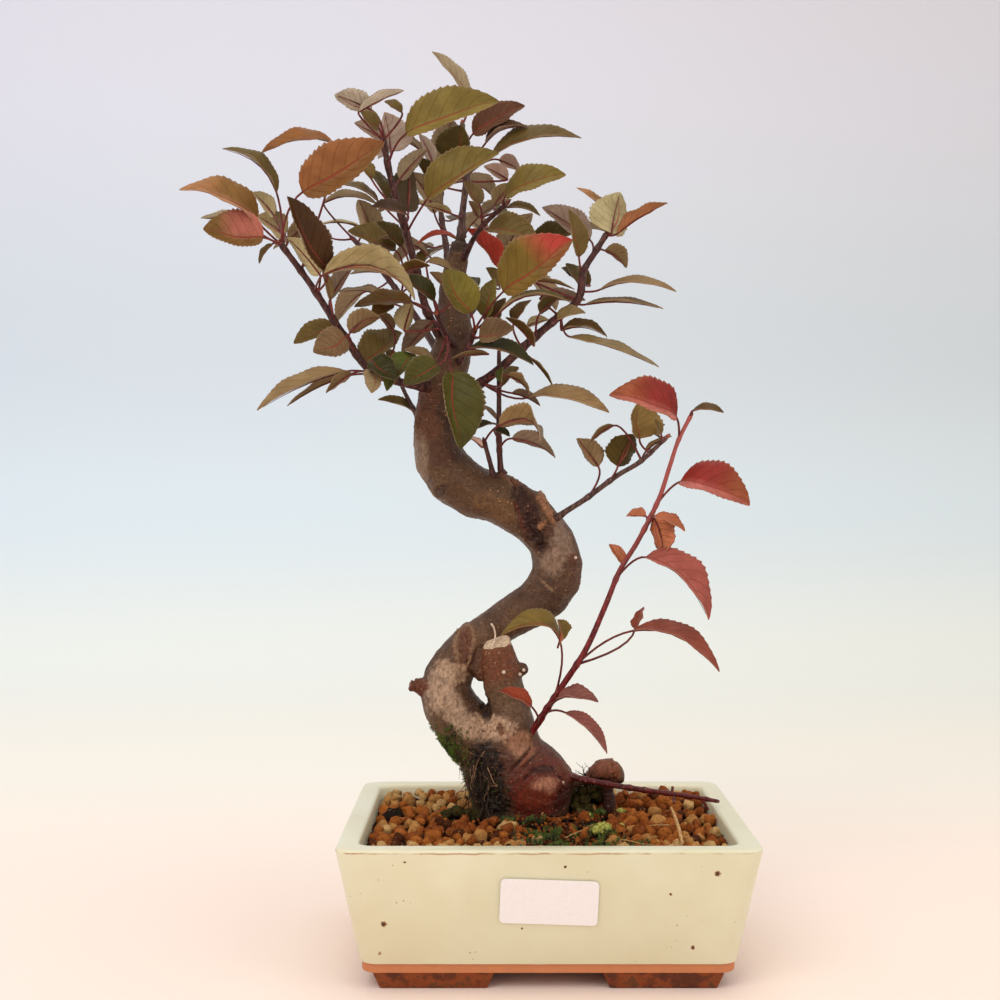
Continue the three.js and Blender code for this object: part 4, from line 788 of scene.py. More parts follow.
def spiralLeaves(node, path, nearest, draws):
    count, start = spirals[node]
    lengths = seededValues(11)
    for order in range(count):
        at = start + (0.99 - start) * order / (count - 1)
        length = spiralLeaf["length"] * (0.85 + 0.3 * next(lengths))
        root, along = path.at(at), path.along(at)
        level = up.cross(along).normalized()
        found = []
        for turns in range(24):
            angle = math.radians(spiralLeaf["turn"] * order + 15 * turns)
            out = Quaternion(along, angle) @ level
            heading = (out + along * 0.5).normalized()
            base = root + heading * spiralLeaf["petiole"]
            blade = Vector((heading.x, heading.y, heading.z - spiralLeaf["droop"])).normalized()
            tip = base + blade * length
            found.append((round(nearest(tip), 2), turns, base, tip, blade))
        base, tip, blade = min(found)[2:]
        upper = (up - blade * blade.z).normalized()
        colour = draws.choice(spiralLeaf["colours"])
        yield at, base, tip, upper, spiralLeaf["width"], spiralLeaf["arch"], colour, False


def petalProfile(s):             # half width of a blade along its rib, 1 at the widest
    return 2.6 * s ** 0.6 * (1 - s) ** 0.8


def bowOf(base, tip, upper, arch):    # what the curve of a rib is pulled towards
    length = (tip - base).length
    return base + (tip - base).normalized() * length * leafForm["bow"] + upper * 2 * arch * length


def onCurve(base, bow, tip, s):
    return base * (1 - s) ** 2 + bow * 2 * s * (1 - s) + tip * s ** 2


def alongCurve(base, bow, tip, s):
    return ((bow - base) * (1 - s) + (tip - bow) * s).normalized()


def bladeTemplate(teeth, across):   # a flat blade: x from -1 to 1 across, y from 0 to 1 along
    bpy.ops.mesh.primitive_grid_add(x_subdivisions=across, y_subdivisions=2 * teeth, size=2)
    blade = bpy.context.object
    blade.name = "blade_template"
    uv = blade.data.uv_layers.active.data
    for loop in blade.data.loops:
        x, y, _ = blade.data.vertices[loop.vertex_index].co
        uv[loop.index].uv = ((x + 1) / 2, (y + 1) / 2)
    for vertex in blade.data.vertices:
        vertex.co.y = (vertex.co.y + 1) / 2
    for name in ("upper", "under"):
        blade.data.color_attributes.new(name, "FLOAT_COLOR", "POINT")
    blade["teeth"] = teeth
    return blade


def shapedBlade(template, base, tip, upper, width, arch, draws):
    blade = copied(template)
    length = (tip - base).length
    side = (tip - base).normalized().cross(upper)
    bow = bowOf(base, tip, upper, arch)
    fold = math.radians(leafForm["fold"] + draws.uniform(-1, 1) * leafForm["foldSpread"])
    phase = draws.uniform(0, 6)
    twist = draws.uniform(-1, 1) * leafForm["twist"]
    lower = -1 if side.z > 0 else 1
    crooked = -lower * draws.uniform(0, leafForm["crooked"]) * length
    ribShift = lower * leafForm["ribShift"] * draws.uniform(0.45, 1)
    lopsided = draws.uniform(-1, 1) * leafForm["lopsided"]
    waves = leafForm["waveHeight"] * draws.uniform(*leafForm["waveSpread"])
    teeth = template["teeth"]
    for vertex in blade.data.vertices:
        across, s = vertex.co.x, vertex.co.y
        reach = abs(across)
        row = round(s * 2 * teeth)
        edge = max(0.0, (reach - leafForm["toothedFrom"]) / (1 - leafForm["toothedFrom"]))
        if 0 < row < 2 * teeth:
            s += edge * leafForm["toothLean"][row % 2] / (2 * teeth)
        half = leafForm["fullness"] * width * length * petalProfile(s)
        if row % 2 == 0:
            half *= 1 - leafForm["toothDepth"] * edge
        half = max(half, 0.14 + 0.3 * (1 - s) ** 8) * (1 + lopsided * across)
        rib = onCurve(base, bow, tip, s) + side * crooked * math.sin(math.pi * s)
        tangent = alongCurve(base, bow, tip, s)
        normal = side.cross(tangent).normalized()
        turned = Quaternion(tangent, twist * (s - 0.4))
        lag = leafForm["waveLag"] if across > 0 else 0
        wave = math.sin(2 * math.pi * leafForm["waves"] * s + phase + lag)
        vein = math.sin(math.pi * leafForm["veins"] * (s - 0.3 * reach)) ** 2
        lift = half * (reach * math.sin(fold)
                       + waves * wave * reach ** 2 * min(1, 4 * s)
                       + leafForm["quilting"] * (vein - 0.5) * min(1, 3 * reach) * (1 - edge))
        out = across + ribShift * math.sin(math.pi * s) * (1 - across * across)
        vertex.co = metres(rib + turned @ (side * out * half * math.cos(fold) + normal * lift))
    return blade


def paintBlade(blade, colour, underShows, brightness):
    right, left, otherName, *tips = leafColours[colour]
    other = leafColours[otherName][:2]
    sides = {"upper": (right, left), "under": other}
    if underShows:
        sides = {"upper": other, "under": (right, left)}
    uv = {}
    for loop in blade.data.loops:
        uv[loop.vertex_index] = blade.data.uv_layers.active.data[loop.index].uv.copy()
    for name, (onRight, onLeft) in sides.items():
        values = blade.data.color_attributes[name].data
        onRight, onLeft = rgb(*onRight), rgb(*onLeft)
        for index, place in uv.items():
            share = min(max((place.x - 0.47) / 0.06, 0), 1)
            tone = brightness * (1.06 - 0.14 * place.y)
            mixed = [part * tone for part in blend(onLeft, onRight, share)]
            if tips and (name == "upper") != underShows:
                half = share if len(tips) == 1 else 1 - share
                near = min(max((place.y - 0.5) / 0.3, 0), 1) * (0.3 + 0.7 * half)
                mixed = blend(mixed, rgb(*tips[0]), near)
            values[index].color = (*mixed, 1)


def petioleLine(root, base, tip, upper, arch):   # the stalk, running on as the rib under the blade
    bow = bowOf(base, tip, upper, arch)
    start = (bow - base).normalized()
    span = base - root
    straight = max(0, start.dot(span.normalized()))
    bend = base - start * (0.1 + 0.35 * straight) * span.length
    thick = leafForm["stalk"]
    line = []
    for k in range(7):
        share = leafForm["stalkFoot"] if k == 0 else 1 - 0.02 * k
        line.append((onCurve(base, bend, root, 1 - k / 6), thick * share))
    side = (tip - base).normalized().cross(upper)
    for s, share in leafForm["rib"]:
        under = side.cross(alongCurve(base, bow, tip, s)).normalized() * leafForm["ribSink"]
        line.append((onCurve(base, bow, tip, s) - under, thick * share))
    return line


def budTemplate(material):       # a scaly bud, pointed upwards, 1 mm round and 2 mm tall
    bpy.ops.mesh.primitive_uv_sphere_add(segments=8, ring_count=6, radius=0.5 * millimetre)
    bud = bpy.context.object
    bud.name = "bud_template"
    bpy.ops.object.mode_set(mode="EDIT")
    bpy.ops.mesh.select_all(action="SELECT")
    bpy.ops.transform.resize(value=(1, 1, 1.9))
    bpy.ops.object.mode_set(mode="OBJECT")
    for vertex in bud.data.vertices:
        tip = max(0, vertex.co.z / (0.95 * millimetre))
        vertex.co.x *= 1 - 0.45 * tip
        vertex.co.y *= 1 - 0.45 * tip
    bud.data.materials.append(material)
    bpy.ops.object.shade_smooth()
    return bud


def budAt(template, place, along, size):
    bud = copied(template)
    turn = along.to_track_quat("Z", "Y").to_matrix().to_4x4()
    bud.data.transform(Matrix.Translation(metres(place)) @ turn @ Matrix.Scale(size, 4))
    return bud


def radiusAt(stem, at):
    thick, thin = stem["radius"]
    return thick + (thin - thick) * at


def stemLine(stem, path, begin, swellings):
    steps = max(12, int(path.length / stemForm["pitch"]))
    footSwell = stem.get("swell", stemForm["footSwell"])
    leafReach = stemForm["leafReach"]
    line = []
    for k in range(steps + 1):
        t = begin + (1 - begin) * k / steps
        near = max([math.exp(-((t - s) * path.length / leafReach) ** 2) for s in swellings], default=0)
        radius = radiusAt(stem, t)
        radius *= 1 + stemForm["leafSwell"] * near
        radius *= 1 + stemForm["uneven"] * noise.noise(path.at(t) * 0.6)
        radius *= 1 + footSwell * math.exp(-((t - begin) * path.length / stemForm["footReach"]) ** 2)
        line.append((path.at(t), radius * (stemForm["tip"] if k == steps else 1)))
    return line


def rootedLine(line, trunkSurface, limit):   # runs the lower end of a stem on into the trunk
    place, radius = line[0]
    hit, normal = trunkSurface.find_nearest(metres(place))[:2]
    if (hit - metres(place)).length > limit * millimetre:
        return line
    foot = (hit - potPlace) / millimetre
    radius *= stemForm["foot"]
    return [(foot - normal * stemForm["footSink"], radius), (foot + normal * 0.1, radius)] + line[2:]


def makeLeafyStem(node, stem, templates, materials, trunkSurface):
    draws = random.Random(node)
    nearest = nodePoints(node)
    path = Path([seen(*point) for point in stem["route"]])
    tries = (k / stemForm["startSteps"] for k in range(stemForm["startSteps"]))
    start = next(t for t in tries if nearest(path.at(t)) < stem["radius"][0] + 0.25)
    leaves = list(seenLeaves(stem, nearest))
    if node in spirals:
        leaves += list(spiralLeaves(node, path, nearest, draws))
    first = start + stemForm["firstLeaf"] / path.length
    blades = []
    stalks = []
    buds = []
    for at, base, tip, upper, width, arch, colour, underShows in leaves:
        template = templates["large" if (tip - base).length > leafForm["largeFrom"] else "small"]
        blade = shapedBlade(template, base, tip, upper, width, arch, draws)
        paintBlade(blade, colour, underShows, draws.uniform(0.9, 1.08))
        blades.append(blade)
        root = path.at(max(at, first))
        stalk = petioleLine(root, base, tip, upper, arch)
        if any((other[6][0] - base).length < stemForm["sharedStalk"] for other in stalks):
            stalk = stalk[5:]
        stalks.append(stalk)
        outward = ((stalk[1][0] - root).normalized() + path.along(at) * 1.4).normalized()
        place = root + outward * radiusAt(stem, at) * 0.9
        buds.append(budAt(templates["bud"], place, outward, draws.uniform(1.0, 1.5)))
    begin = max(stem.get("from", 0.0), start - stemForm["startBefore"] / path.length)
    line = stemLine(stem, path, begin, [max(at, first) for at, *_ in leaves])
    buds.append(budAt(templates["bud"], path.at(1), path.along(1), stem["radius"][1] * 2))
    leafy = joinPieces(node + "_blades", blades)
    leafy.data.materials.clear()
    leafy.data.materials.append(materials["upper"])
    leafy.data.materials.append(materials["under"])
    applyModifier(leafy, "SOLIDIFY", thickness=leafForm["thickness"] * millimetre, offset=0,
                  material_offset=1, use_even_offset=False)
    line = rootedLine(line, trunkSurface, stemForm["footFar" if "from" in stem else "footNear"])
    wood = tubes(node + "_wood", [line], materials[stem.get("bark", "twig")], 4)
    stalk = tubes(node + "_stalks", stalks, materials["stalk"], 2)
    piece = joinPieces(node + "_fine", [leafy, wood, stalk, *buds])
    bpy.ops.object.shade_smooth()
    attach(piece, "root")
    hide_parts(node)
    return piece


# Leaf, stalk and twig materials

def leafMaterial(name, coloured, ribColour, ribShare, gloss, relief):
    material, shader, coordinates = newMaterial(name)
    place = separate(put("ShaderNodeUVMap", beside=shader, uv_map="UVMap").outputs[0])
    reach = calc("ABSOLUTE", minus(times(place[0], 2.0), 1.0))
    tint = attribute(shader, coloured)

    ribWidth = times(minus(1.25, place[1]), 0.06)
    rib = remap(calc("DIVIDE", reach, ribWidth), 0.35, 1.0, 1.0, 0.0)
    bend = times(calc("POWER", reach, 1.25), 0.3)
    phase = times(minus(place[1], bend), leafForm["veins"])
    apart = calc("ABSOLUTE", minus(calc("FRACT", phase), 0.5))
    vein = remap(apart, 0.0, 0.06, 1.0, 0.0)
    vein = times(vein, remap(reach, 0.75, 1.0, 1.0, 0.15))
    net = remap(cells(coordinates, 700, "DISTANCE_TO_EDGE"), 0.0, 0.12, 1.0, 0.0)

    blotch = remap(grain(coordinates, 130, 4.0), 0.3, 0.7, 0.0, 1.0)
    darker = mixColour(0.34, tint, (0.25, 0.2, 0.12), "MULTIPLY")
    tissue = mixColour(blotch, darker, tint)
    edge = remap(reach, 0.92, 1.0, 0.0, 0.55)
    tissue = mixColour(edge, tissue, mixColour(0.5, tint, (0.42, 0.26, 0.17)))
    veined = mixColour(ribShare, tint, ribColour)
    tissue = mixColour(times(vein, 0.22), tissue, veined)
    tissue = mixColour(rib, tissue, mixColour(min(1.0, ribShare * 1.9), tint, ribColour))
    rough = remap(grain(coordinates, 300), 0.3, 0.7, gloss - 0.06, gloss + 0.08)
    coat(shader, tissue, rough, 0.16)
    lines = times(calc("MAXIMUM", vein, rib), relief)
    bump(shader, calc("ADD", lines, times(net, relief * 0.25)), 0.8, 0.0006)
    return material


def twigMaterial(name, dark, light, gloss, dots, high=None):    # high: another colour higher up
    material, shader, coordinates = newMaterial(name)
    streak = grain(stretched(coordinates, (900, 900, 160)), 1.0, 4.0)
    colour = mixColour(remap(streak, 0.35, 0.68), dark, light)
    if high:
        risen = remap(separate(coordinates)[2], *high[:2], 0.0, 0.72)
        colour = mixColour(risen, colour, high[2])
    lenticel = spots(coordinates, 420, 0.16, 0.1)
    colour = mixColour(times(lenticel, dots), colour, rgb(176, 150, 128))
    coat(shader, colour, gloss, 0.28)
    bump(shader, calc("ADD", streak, lenticel), 0.35, 0.0004)
    return material


def makeLeafMaterials():
    return {
        "upper": leafMaterial("leaf_upper", "upper", rgb(146, 48, 40), 0.42, 0.4, -0.5),
        "under": leafMaterial("leaf_under", "under", rgb(166, 84, 72), 0.46, 0.55, 0.7),
        "stalk": twigMaterial("leaf_stalk", rgb(78, 24, 22), rgb(124, 50, 44), 0.42, 0.0),
        "twig": twigMaterial("twig_bark", rgb(44, 18, 18), rgb(90, 50, 44), 0.45, 0.16),
        "redTwig": twigMaterial("red_twig_bark", rgb(78, 16, 20), rgb(128, 38, 38), 0.38, 0.14,
                                (0.14, 0.25, rgb(184, 98, 92))),
        "grayTwig": twigMaterial("gray_twig_bark", rgb(56, 36, 32), rgb(108, 80, 72), 0.55, 0.2),
        "bud": twigMaterial("bud_scales", rgb(92, 30, 24), rgb(166, 96, 66), 0.5, 0.0),
    }


def makeCanopy(trunkSurface):
    materials = makeLeafMaterials()
    templates = {
        "large": bladeTemplate(leafForm["largeTeeth"], leafForm["largeAcross"]),
        "small": bladeTemplate(leafForm["smallTeeth"], leafForm["smallAcross"]),
        "bud": budTemplate(materials["bud"]),
    }
    for node, stem in stems.items():
        makeLeafyStem(node, stem, templates, materials, trunkSurface)
        print("leafy stem:", node)
    for template in templates.values():
        bpy.data.objects.remove(template)


# Trunk

# Marks on the bark: middle as it shows (x, z), half length and half width, how far its top leans
# to the right in degrees, how far the bark sinks there, how rough it is, its colour and how much
# of the colour shows. Later ones lie over earlier ones. Some marks paint highlight or shade.
barkMarks = {
    "upperOlive": ((-30.7, 212), (10, 25), 20, 0.0, 0.1, (90, 68, 41), 0.75),
    "middleTan": ((-22.9, 203.3), (6, 13), 25, 0.0, 0.2, (128, 100, 68), 0.55),
    "leftSilver": ((-57.5, 226), (15, 4.5), 0, 0.0, 0.0, (160, 148, 138), 0.65),
    "neckBark": ((-53.8, 247), (14, 9), 0, 0.0, 0.9, (112, 72, 52), 0.7),
    "neckDark": ((-43, 242), (18, 5.5), -15, 0.0, 0.2, (58, 42, 30), 0.75),
    "mottle": ((-48, 229), (8, 6), 10, 0.0, 0.5, (86, 56, 40), 0.6),
    "knotTan": ((-52.5, 210), (3.2, 3), -20, -0.3, 0.2, (166, 146, 114), 0.75),
    "knot": ((-48.3, 210.3), (3.8, 2.6), 55, 0.8, 0.6, (66, 44, 34), 0.9),
    # The next two marks are painted highlight: a pale silvery sheen on the bend.
    "rightPaintedSheen": ((7.2, 187.5), (11, 5), -8, 0.0, 0.0, (164, 149, 143), 0.7),
    "bendPaintedSheen": ((3.2, 177.4), (6.5, 6), 0, 0.0, 0.2, (162, 146, 139), 0.65),
    "rightRed": ((15.4, 171), (11, 4), 5, 0.0, 0.3, (94, 58, 48), 0.65),
    "underBend": ((4, 158.5), (5, 13), 15, 0.0, 0.5, (74, 52, 41), 0.7),
    "bendCrease": ((0.7, 167.4), (6, 0.5), -48, 0.4, 0.0, (176, 154, 132), 0.9),
    "aboveWound": ((-15.5, 216.4), (3, 7), 30, -0.4, 1.1, (140, 94, 64), 0.8),
    "wound": ((-7.1, 199.4), (17.5, 5.6), -20, 2.2, 1.2, (60, 26, 19), 1.0),
    "woundEdge": ((-11.4, 199), (10, 1.1), -15, 0.2, 0.9, (118, 62, 44), 0.7),
    # Dark wood in the heart of the wound, darkened further as painted shade in the hollow.
    "woundHeartAndShade": ((-4, 191.5), (10, 3), -14, 1.4, 0.6, (48, 12, 8), 1.0),
    "lip": ((0.2, 203), (10, 1.7), -28, -1.7, 1.0, (176, 134, 104), 0.85),
    "lipEnd": ((-1.2, 194.5), (3.6, 1.3), 30, -1.2, 0.9, (186, 144, 114), 0.8),
    "lipKnot": ((2.6, 191.6), (3.1, 2.5), 0, 0.8, 0.9, (92, 60, 46), 0.95),
    "budScar": ((12.8, 179.2), (2.8, 2.2), 0, -0.9, 0.6, (108, 66, 48), 0.9),
    "limbBrown": ((-38, 133), (12, 5), -5, 0.0, 0.5, (110, 80, 62), 0.7),
    "scarRim": ((-36.7, 139.6), (11.5, 5.4), 5, -0.8, 0.8, (158, 132, 112), 0.85),
    "scar": ((-36.7, 139.6), (9, 3.1), 5, 1.0, 1.5, (112, 72, 54), 1.0),
    # Pale silvery bark with a painted highlight along the limb.
    "limbSilverAndSheen": ((-48.5, 120), (13, 7), 12, 0.0, 0.1, (206, 190, 180), 0.75),
    "whiteStreaks": ((-42.5, 127.2), (4.5, 8.5), 20, 0.1, 1.0, (208, 190, 172), 0.65),
    # Pale silvery bark with a painted highlight low on the limb.
    "lowSilverAndSheen": ((-40.5, 107.5), (12, 6), -30, 0.0, 0.3, (204, 188, 174), 0.7),
    "footOlive": ((-48, 99), (8, 4), -25, 0.0, 0.2, (112, 92, 68), 0.65),
    # Brown bark with painted shade between the limbs.
    "kneeBrownAndShade": ((-30.5, 126), (12, 3.6), -8, 0.3, 0.8, (96, 66, 50), 0.8),
    "knobTip": ((-59, 120.5), (5.5, 5.5), 0, -0.2, 1.6, (112, 62, 44), 0.95),
    "secondRed": ((-21.9, 131), (13, 11), 0, 0.0, 0.5, (128, 76, 50), 0.85),
    "secondGray": ((-17.6, 117), (7.5, 10), 0, 0.0, 0.1, (114, 96, 78), 0.75),
    "secondLow": ((-14.2, 107), (7, 8), 0, 0.0, 0.1, (124, 104, 90), 0.65),
    "paleJoin": ((-29, 100.5), (7, 8), 20, -0.2, 0.9, (214, 192, 176), 0.7),
    "paleBumps": ((-21, 101), (6, 8), 10, -0.7, 1.5, (234, 214, 202), 0.8),
    "bumpScar": ((-20.3, 100.6), (3.2, 1.6), -10, 0.3, 0.9, (112, 66, 44), 1.0),
    # Painted shade: the crevice is coloured near black where shade falls in the gap.
    "creviceShade": ((-27, 110), (7.5, 2.6), -12, 1.6, 0.8, (46, 30, 24), 1.0),
    "basePink": ((-10.5, 93), (7, 9), 30, 0.0, 0.1, (196, 156, 136), 0.75),
    "baseBrown": ((-20, 84), (8, 8), 0, 0.0, 0.2, (92, 50, 40), 0.85),
    "besideCrease": ((0, 90), (9.5, 4.6), -38, 0.0, 0.2, (96, 46, 28), 0.85),
    "rightFoot": ((9.5, 81.5), (6, 8), -40, 0.0, 0.5, (118, 70, 48), 0.8),
    "bulb": ((-2.2, 72.5), (17, 15.5), 0, 0.0, 0.0, (112, 40, 30), 0.97),
    "bulbFoot": ((-5, 69.5), (6, 9), 0, 0.0, 0.2, (138, 62, 42), 0.75),
    # Painted shade on the lower right of the bulb.
    "bulbRightShade": ((8.5, 68.5), (8, 3.4), 25, 0.4, 0.1, (60, 20, 18), 0.9),
    "bulbShine": ((0.4, 74.8), (3.6, 6.8), 0, -0.2, 0.1, (214, 164, 146), 0.78),
    "bulbTop": ((-0.6, 81.8), (2.2, 7), 0, 0.3, 0.4, (66, 30, 22), 0.9),
    "crease": ((-10.6, 86.6), (8.5, 0.7), 41, 1.3, 0.2, (70, 30, 24), 1.0),
    "creaseRidge": ((-8.2, 87.2), (7, 0.8), 41, -0.5, 0.3, (156, 100, 80), 0.85),
    "creaseBeside": ((-6.2, 86.2), (8, 0.6), 41, 0.9, 0.2, (84, 40, 30), 0.95),
    "bulbArc": ((-7, 79.4), (4.2, 0.6), 48, 0.8, 0.1, (62, 24, 20), 0.95),
    "bulbArcRight": ((6.4, 78.6), (5.2, 0.6), -48, 0.7, 0.1, (66, 26, 22), 0.9),
    "rootDark": ((-27, 79), (18, 8.5), -5, 0.4, 1.9, (30, 20, 13), 1.0),
    "rootDarkFoot": ((-22, 66), (7, 7), 0, 0.2, 1.4, (33, 22, 14), 1.0),
    "rootLump": ((25.5, 81.5), (6.5, 8), 0, 0.0, 0.5, (150, 96, 80), 0.92),
    # Painted shade under the root lump.
    "rootUnderShade": ((27, 76.4), (1.8, 9), 4, 0.5, 0.6, (44, 24, 22), 0.95),
    "rootScales": ((32.6, 81), (6, 2.8), -12, 0.3, 2.6, (158, 104, 76), 0.9),
    "rootLeg": ((29.6, 68), (8.5, 3.6), 0, 0.0, 0.4, (62, 26, 26), 0.97),
}

cutFace = {                      # where a branch was sawn off
    "middle": (-22.4, 140, -9), "radius": 7.8, "right": 0.34, "back": 0.4,
    "facing": 0.55, "under": -3, "grit": 0.15, "colour": (248, 240, 230),
}


def markPlaces(surface):
    marks = []
    for middle, halves, lean, sink, rough, colour, share in barkMarks.values():
        place = frontOf(surface, *middle)
        sight = (place - metres(eye)).normalized()
        across = sight.cross(up).normalized()
        above = across.cross(sight)
        turn = Quaternion(sight, math.radians(lean))
        marks.append((place, turn @ above, turn @ across, halves, sink, rough, rgb(*colour), share))
    return marks


def markStrength(mark, place, ragged):
    middle, above, across, halves, _, rough = mark[:6]
    away = (place - middle) / millimetre
    if away.length > 1.7 * max(halves) + 2:
        return 0
    deep = away.dot(above.cross(across)) / (1.3 * max(halves) + 3)
    high, wide = away.dot(above) / halves[0], away.dot(across) / halves[1]
    out = math.sqrt(high ** 2 + wide ** 2 + deep ** 2)
    soft = 0.42 if rough < 0.55 else 0.27      # rough marks have a sharper edge
    return min(max((1 + 0.31 * soft + ragged - out) / soft, 0), 1)


barkForm = {
    "voxel": 0.00085, "smoothing": 22, "swell": 0.3, "lumps": 0.55, "wrinkles": 0.24, "grit": 0.14,
    "gray": (110, 88, 68), "brown": (76, 50, 32),
    "moist": (56, 36, 28), "soakedBelow": 78, "soakedOver": 16, "soaked": 0.6,
    "warmth": (0.92, 0.74, 0.57),
    "topCut": (-38.6, 325.5, 2), "topReach": 7, "topRough": 2.4, "topShade": 0.5,
}


def makeTrunk():
    trunk = copyOf("trunk")
    applyModifier(trunk, "REMESH", mode="VOXEL", voxel_size=barkForm["voxel"])
    applyModifier(trunk, "SMOOTH", factor=0.5, iterations=barkForm["smoothing"])
    marks = markPlaces(surfaceOf(trunk))
    trunk.data.color_attributes.new("tint", "FLOAT_COLOR", "POINT")
    tint = trunk.data.color_attributes["tint"].data
    normals = [v.normal.copy() for v in trunk.data.vertices]
    cutMiddle, cutColour = seenPlace(*cutFace["middle"]), rgb(*cutFace["colour"])
    topPlace = seenPlace(*barkForm["topCut"])
    gray, brown, moist = (rgb(*barkForm[name]) for name in ("gray", "brown", "moist"))
    for vertex, normal in zip(trunk.data.vertices, normals):
        p = vertex.co / millimetre
        ragged = 0.28 * noise.noise(p * 0.35) + 0.2 * noise.noise(p * 0.9)
        grit = noise.noise(p * 1.6)
        mottle = noise.noise(Vector((p.x * 0.7, p.y * 0.7, p.z * 0.4)))
        rise = barkForm["swell"] + barkForm["lumps"] * noise.fractal(p * 0.07, 1.0, 2.0, 3)
        rise += barkForm["wrinkles"] * noise.noise(Vector((p.x * 0.5, p.y * 0.5, p.z * 0.26)))
        rise += barkForm["grit"] * grit
        mixed = noise.fractal(p * 0.09 + Vector((7, 3, 1)), 1.0, 2.0, 4) * 0.6 + 0.5
        colour = blend(gray, brown, mixed)
        low = max((barkForm["soakedBelow"] - p.z) / barkForm["soakedOver"], 0)
        colour = blend(colour, moist, min(low, barkForm["soaked"]))
        for mark in marks:
            strength = markStrength(mark, vertex.co, ragged)
            if strength:
                sink, rough, shade, share = mark[4:]
                rise += strength * (rough * (0.5 * grit + 0.6 * noise.noise(p * 0.8)) - sink)
                weight = min(strength * share * (0.88 + 0.2 * grit + 0.5 * mottle), 1)
                colour = blend(colour, shade, weight)
        top = (vertex.co - topPlace).length / millimetre
        if top < barkForm["topReach"]:
            splinters = barkForm["topRough"] * noise.noise(Vector((p.x * 0.9, p.y * 0.9, 0)))
            rise += (1 - top / barkForm["topReach"]) * splinters
            colour = [c * barkForm["topShade"] for c in colour]
        away = (vertex.co - cutMiddle) / millimetre
        onCut = away.length < cutFace["radius"] and away.z > cutFace["under"]
        if onCut and normal.z > cutFace["facing"]:
            level = cutFace["right"] * away.x + cutFace["back"] * away.y + cutFace["grit"] * grit
            vertex.co.z = cutMiddle.z + level * millimetre
            colour = [c * (0.92 + 0.1 * noise.noise(p * 0.5)) for c in cutColour]
        else:
            vertex.co += normal * rise * millimetre
        tint[vertex.index].color = (*(c * w for c, w in zip(colour, barkForm["warmth"])), 1)
    trunk.data.materials.append(barkMaterial())
    bpy.ops.object.shade_smooth()
    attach(trunk, "root")
    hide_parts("trunk")
    print("trunk:", len(trunk.data.polygons), "faces")
    return trunk


def barkMaterial():
    material, shader, coordinates = newMaterial("bark")
    tint = attribute(shader, "tint")
    fine = grain(stretched(coordinates, (900, 900, 560)), 1.0, 5.0, 0.7)
    shaded = mixColour(0.62, tint, (0.3, 0.23, 0.17), "MULTIPLY")
    colour = mixColour(remap(fine, 0.36, 0.56), shaded, tint)
    streaks = grain(stretched(coordinates, (260, 260, 1100)), 1.0, 3.0)
    pale = remap(streaks, 0.56, 0.72, 0.0, 0.34)
    colour = mixColour(pale, colour, mixColour(0.34, tint, rgb(212, 180, 150)))
    dots = spots(coordinates, 340, 0.1, 0.08)
    dots = times(dots, remap(grain(coordinates, 55), 0.4, 0.56))
    colour = mixColour(times(dots, 0.7), colour, rgb(190, 140, 100))
    pores = grain(stretched(coordinates, (1500, 1500, 800)), 1.0, 2.0)
    inPores = mixColour(0.8, colour, (0.2, 0.12, 0.08), "MULTIPLY")
    colour = mixColour(remap(pores, 0.3, 0.42, 0.5, 0.0), colour, inPores)
    rough = remap(grain(coordinates, 90, 3.0), 0.35, 0.7, 0.34, 0.58)
    coat(shader, colour, rough, 0.3)
    bump(shader, calc("ADD", fine, times(dots, 0.3)), 0.6, 0.0011)
    bump(shader, streaks, 0.35, 0.0008)
    return material


# Buds, cut scars and the curl of bark on the trunk, placed as they show (x, z).
trunkDots = {
    "scarLeft": ((-18.9, 126.8), 0.95), "scarRight": ((-11.4, 125.8), 0.85),
    "bendBud": ((14.4, 179.8), 0.8), "knobBud": ((-9.6, 127.8), 0.8), "baseDot": ((8.6, 75.8), 0.7),
}

barkCurl = (
    (-24.6, 149.3, -2.5), (-23.4, 147.6, -5.5), (-22.7, 144.6, -8), (-22.9, 141.4, -10.5),
    (-24.2, 139.2, -13),
)


def makeTrunkDots(surface):
    pale = twigMaterial("pale_scar", rgb(190, 160, 138), rgb(232, 214, 198), 0.6, 0.0)
    pieces = []
    for middle, size in trunkDots.values():
        bpy.ops.mesh.primitive_ico_sphere_add(subdivisions=3, radius=size * millimetre,
                                              location=frontOf(surface, *middle))
        dot = bpy.context.object
        bpy.ops.object.transform_apply(location=True)
        dot.data.materials.append(pale)
        pieces.append(dot)
    line = [(seen(*point), 0.55 - 0.06 * k) for k, point in enumerate(barkCurl)]
    pieces.append(tubes("bark_curl", [line], pale, 2))
    dots = joinPieces("bark_scars", pieces)
    bpy.ops.object.shade_smooth()
    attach(dots, "root")
    print("scars on the bark")


# Soil

soilForm = {
    "halfX": 78.2, "halfY": 55.4, "edge": 1.2, "tries": 16000,
    "radius": {"large": (2.4, 4.3), "small": (1.1, 2.0), "fine": (0.6, 1.1)},
    "treeHole": (-10.5, 18, 22, 13), "spacing": 0.76, "lumpScale": 1.12,
    "bedSink": 2.6, "bedTop": 50, "bedTint": (74, 42, 24),
    "level": 56, "highestLevel": 58, "highest": 61.2, "lowestRoot": 57.5,
}
heapForm = {
    "middle": (-2, 2), "reach": (34, 12), "high": 1.6,
    "backFrom": 22, "backOver": 18, "backHigh": 1.7,
}
soilZones = {
    "fine": {"x": 11, "reach": 23, "to": 14, "behind": 0.4, "share": 0.93},
    "debris": {"x": -37, "y": 12, "rx": 11, "ry": 12},    # left of the trunk's foot
    "frontTo": -39, "frontRight": 14, "backFrom": 24,
}
fineShares = {"black": 0.2, "dark": 0.3, "brown": 0.36, "orange": 0.14}
largeColours = ("pale", "tan", "orange", "brown", "dark")
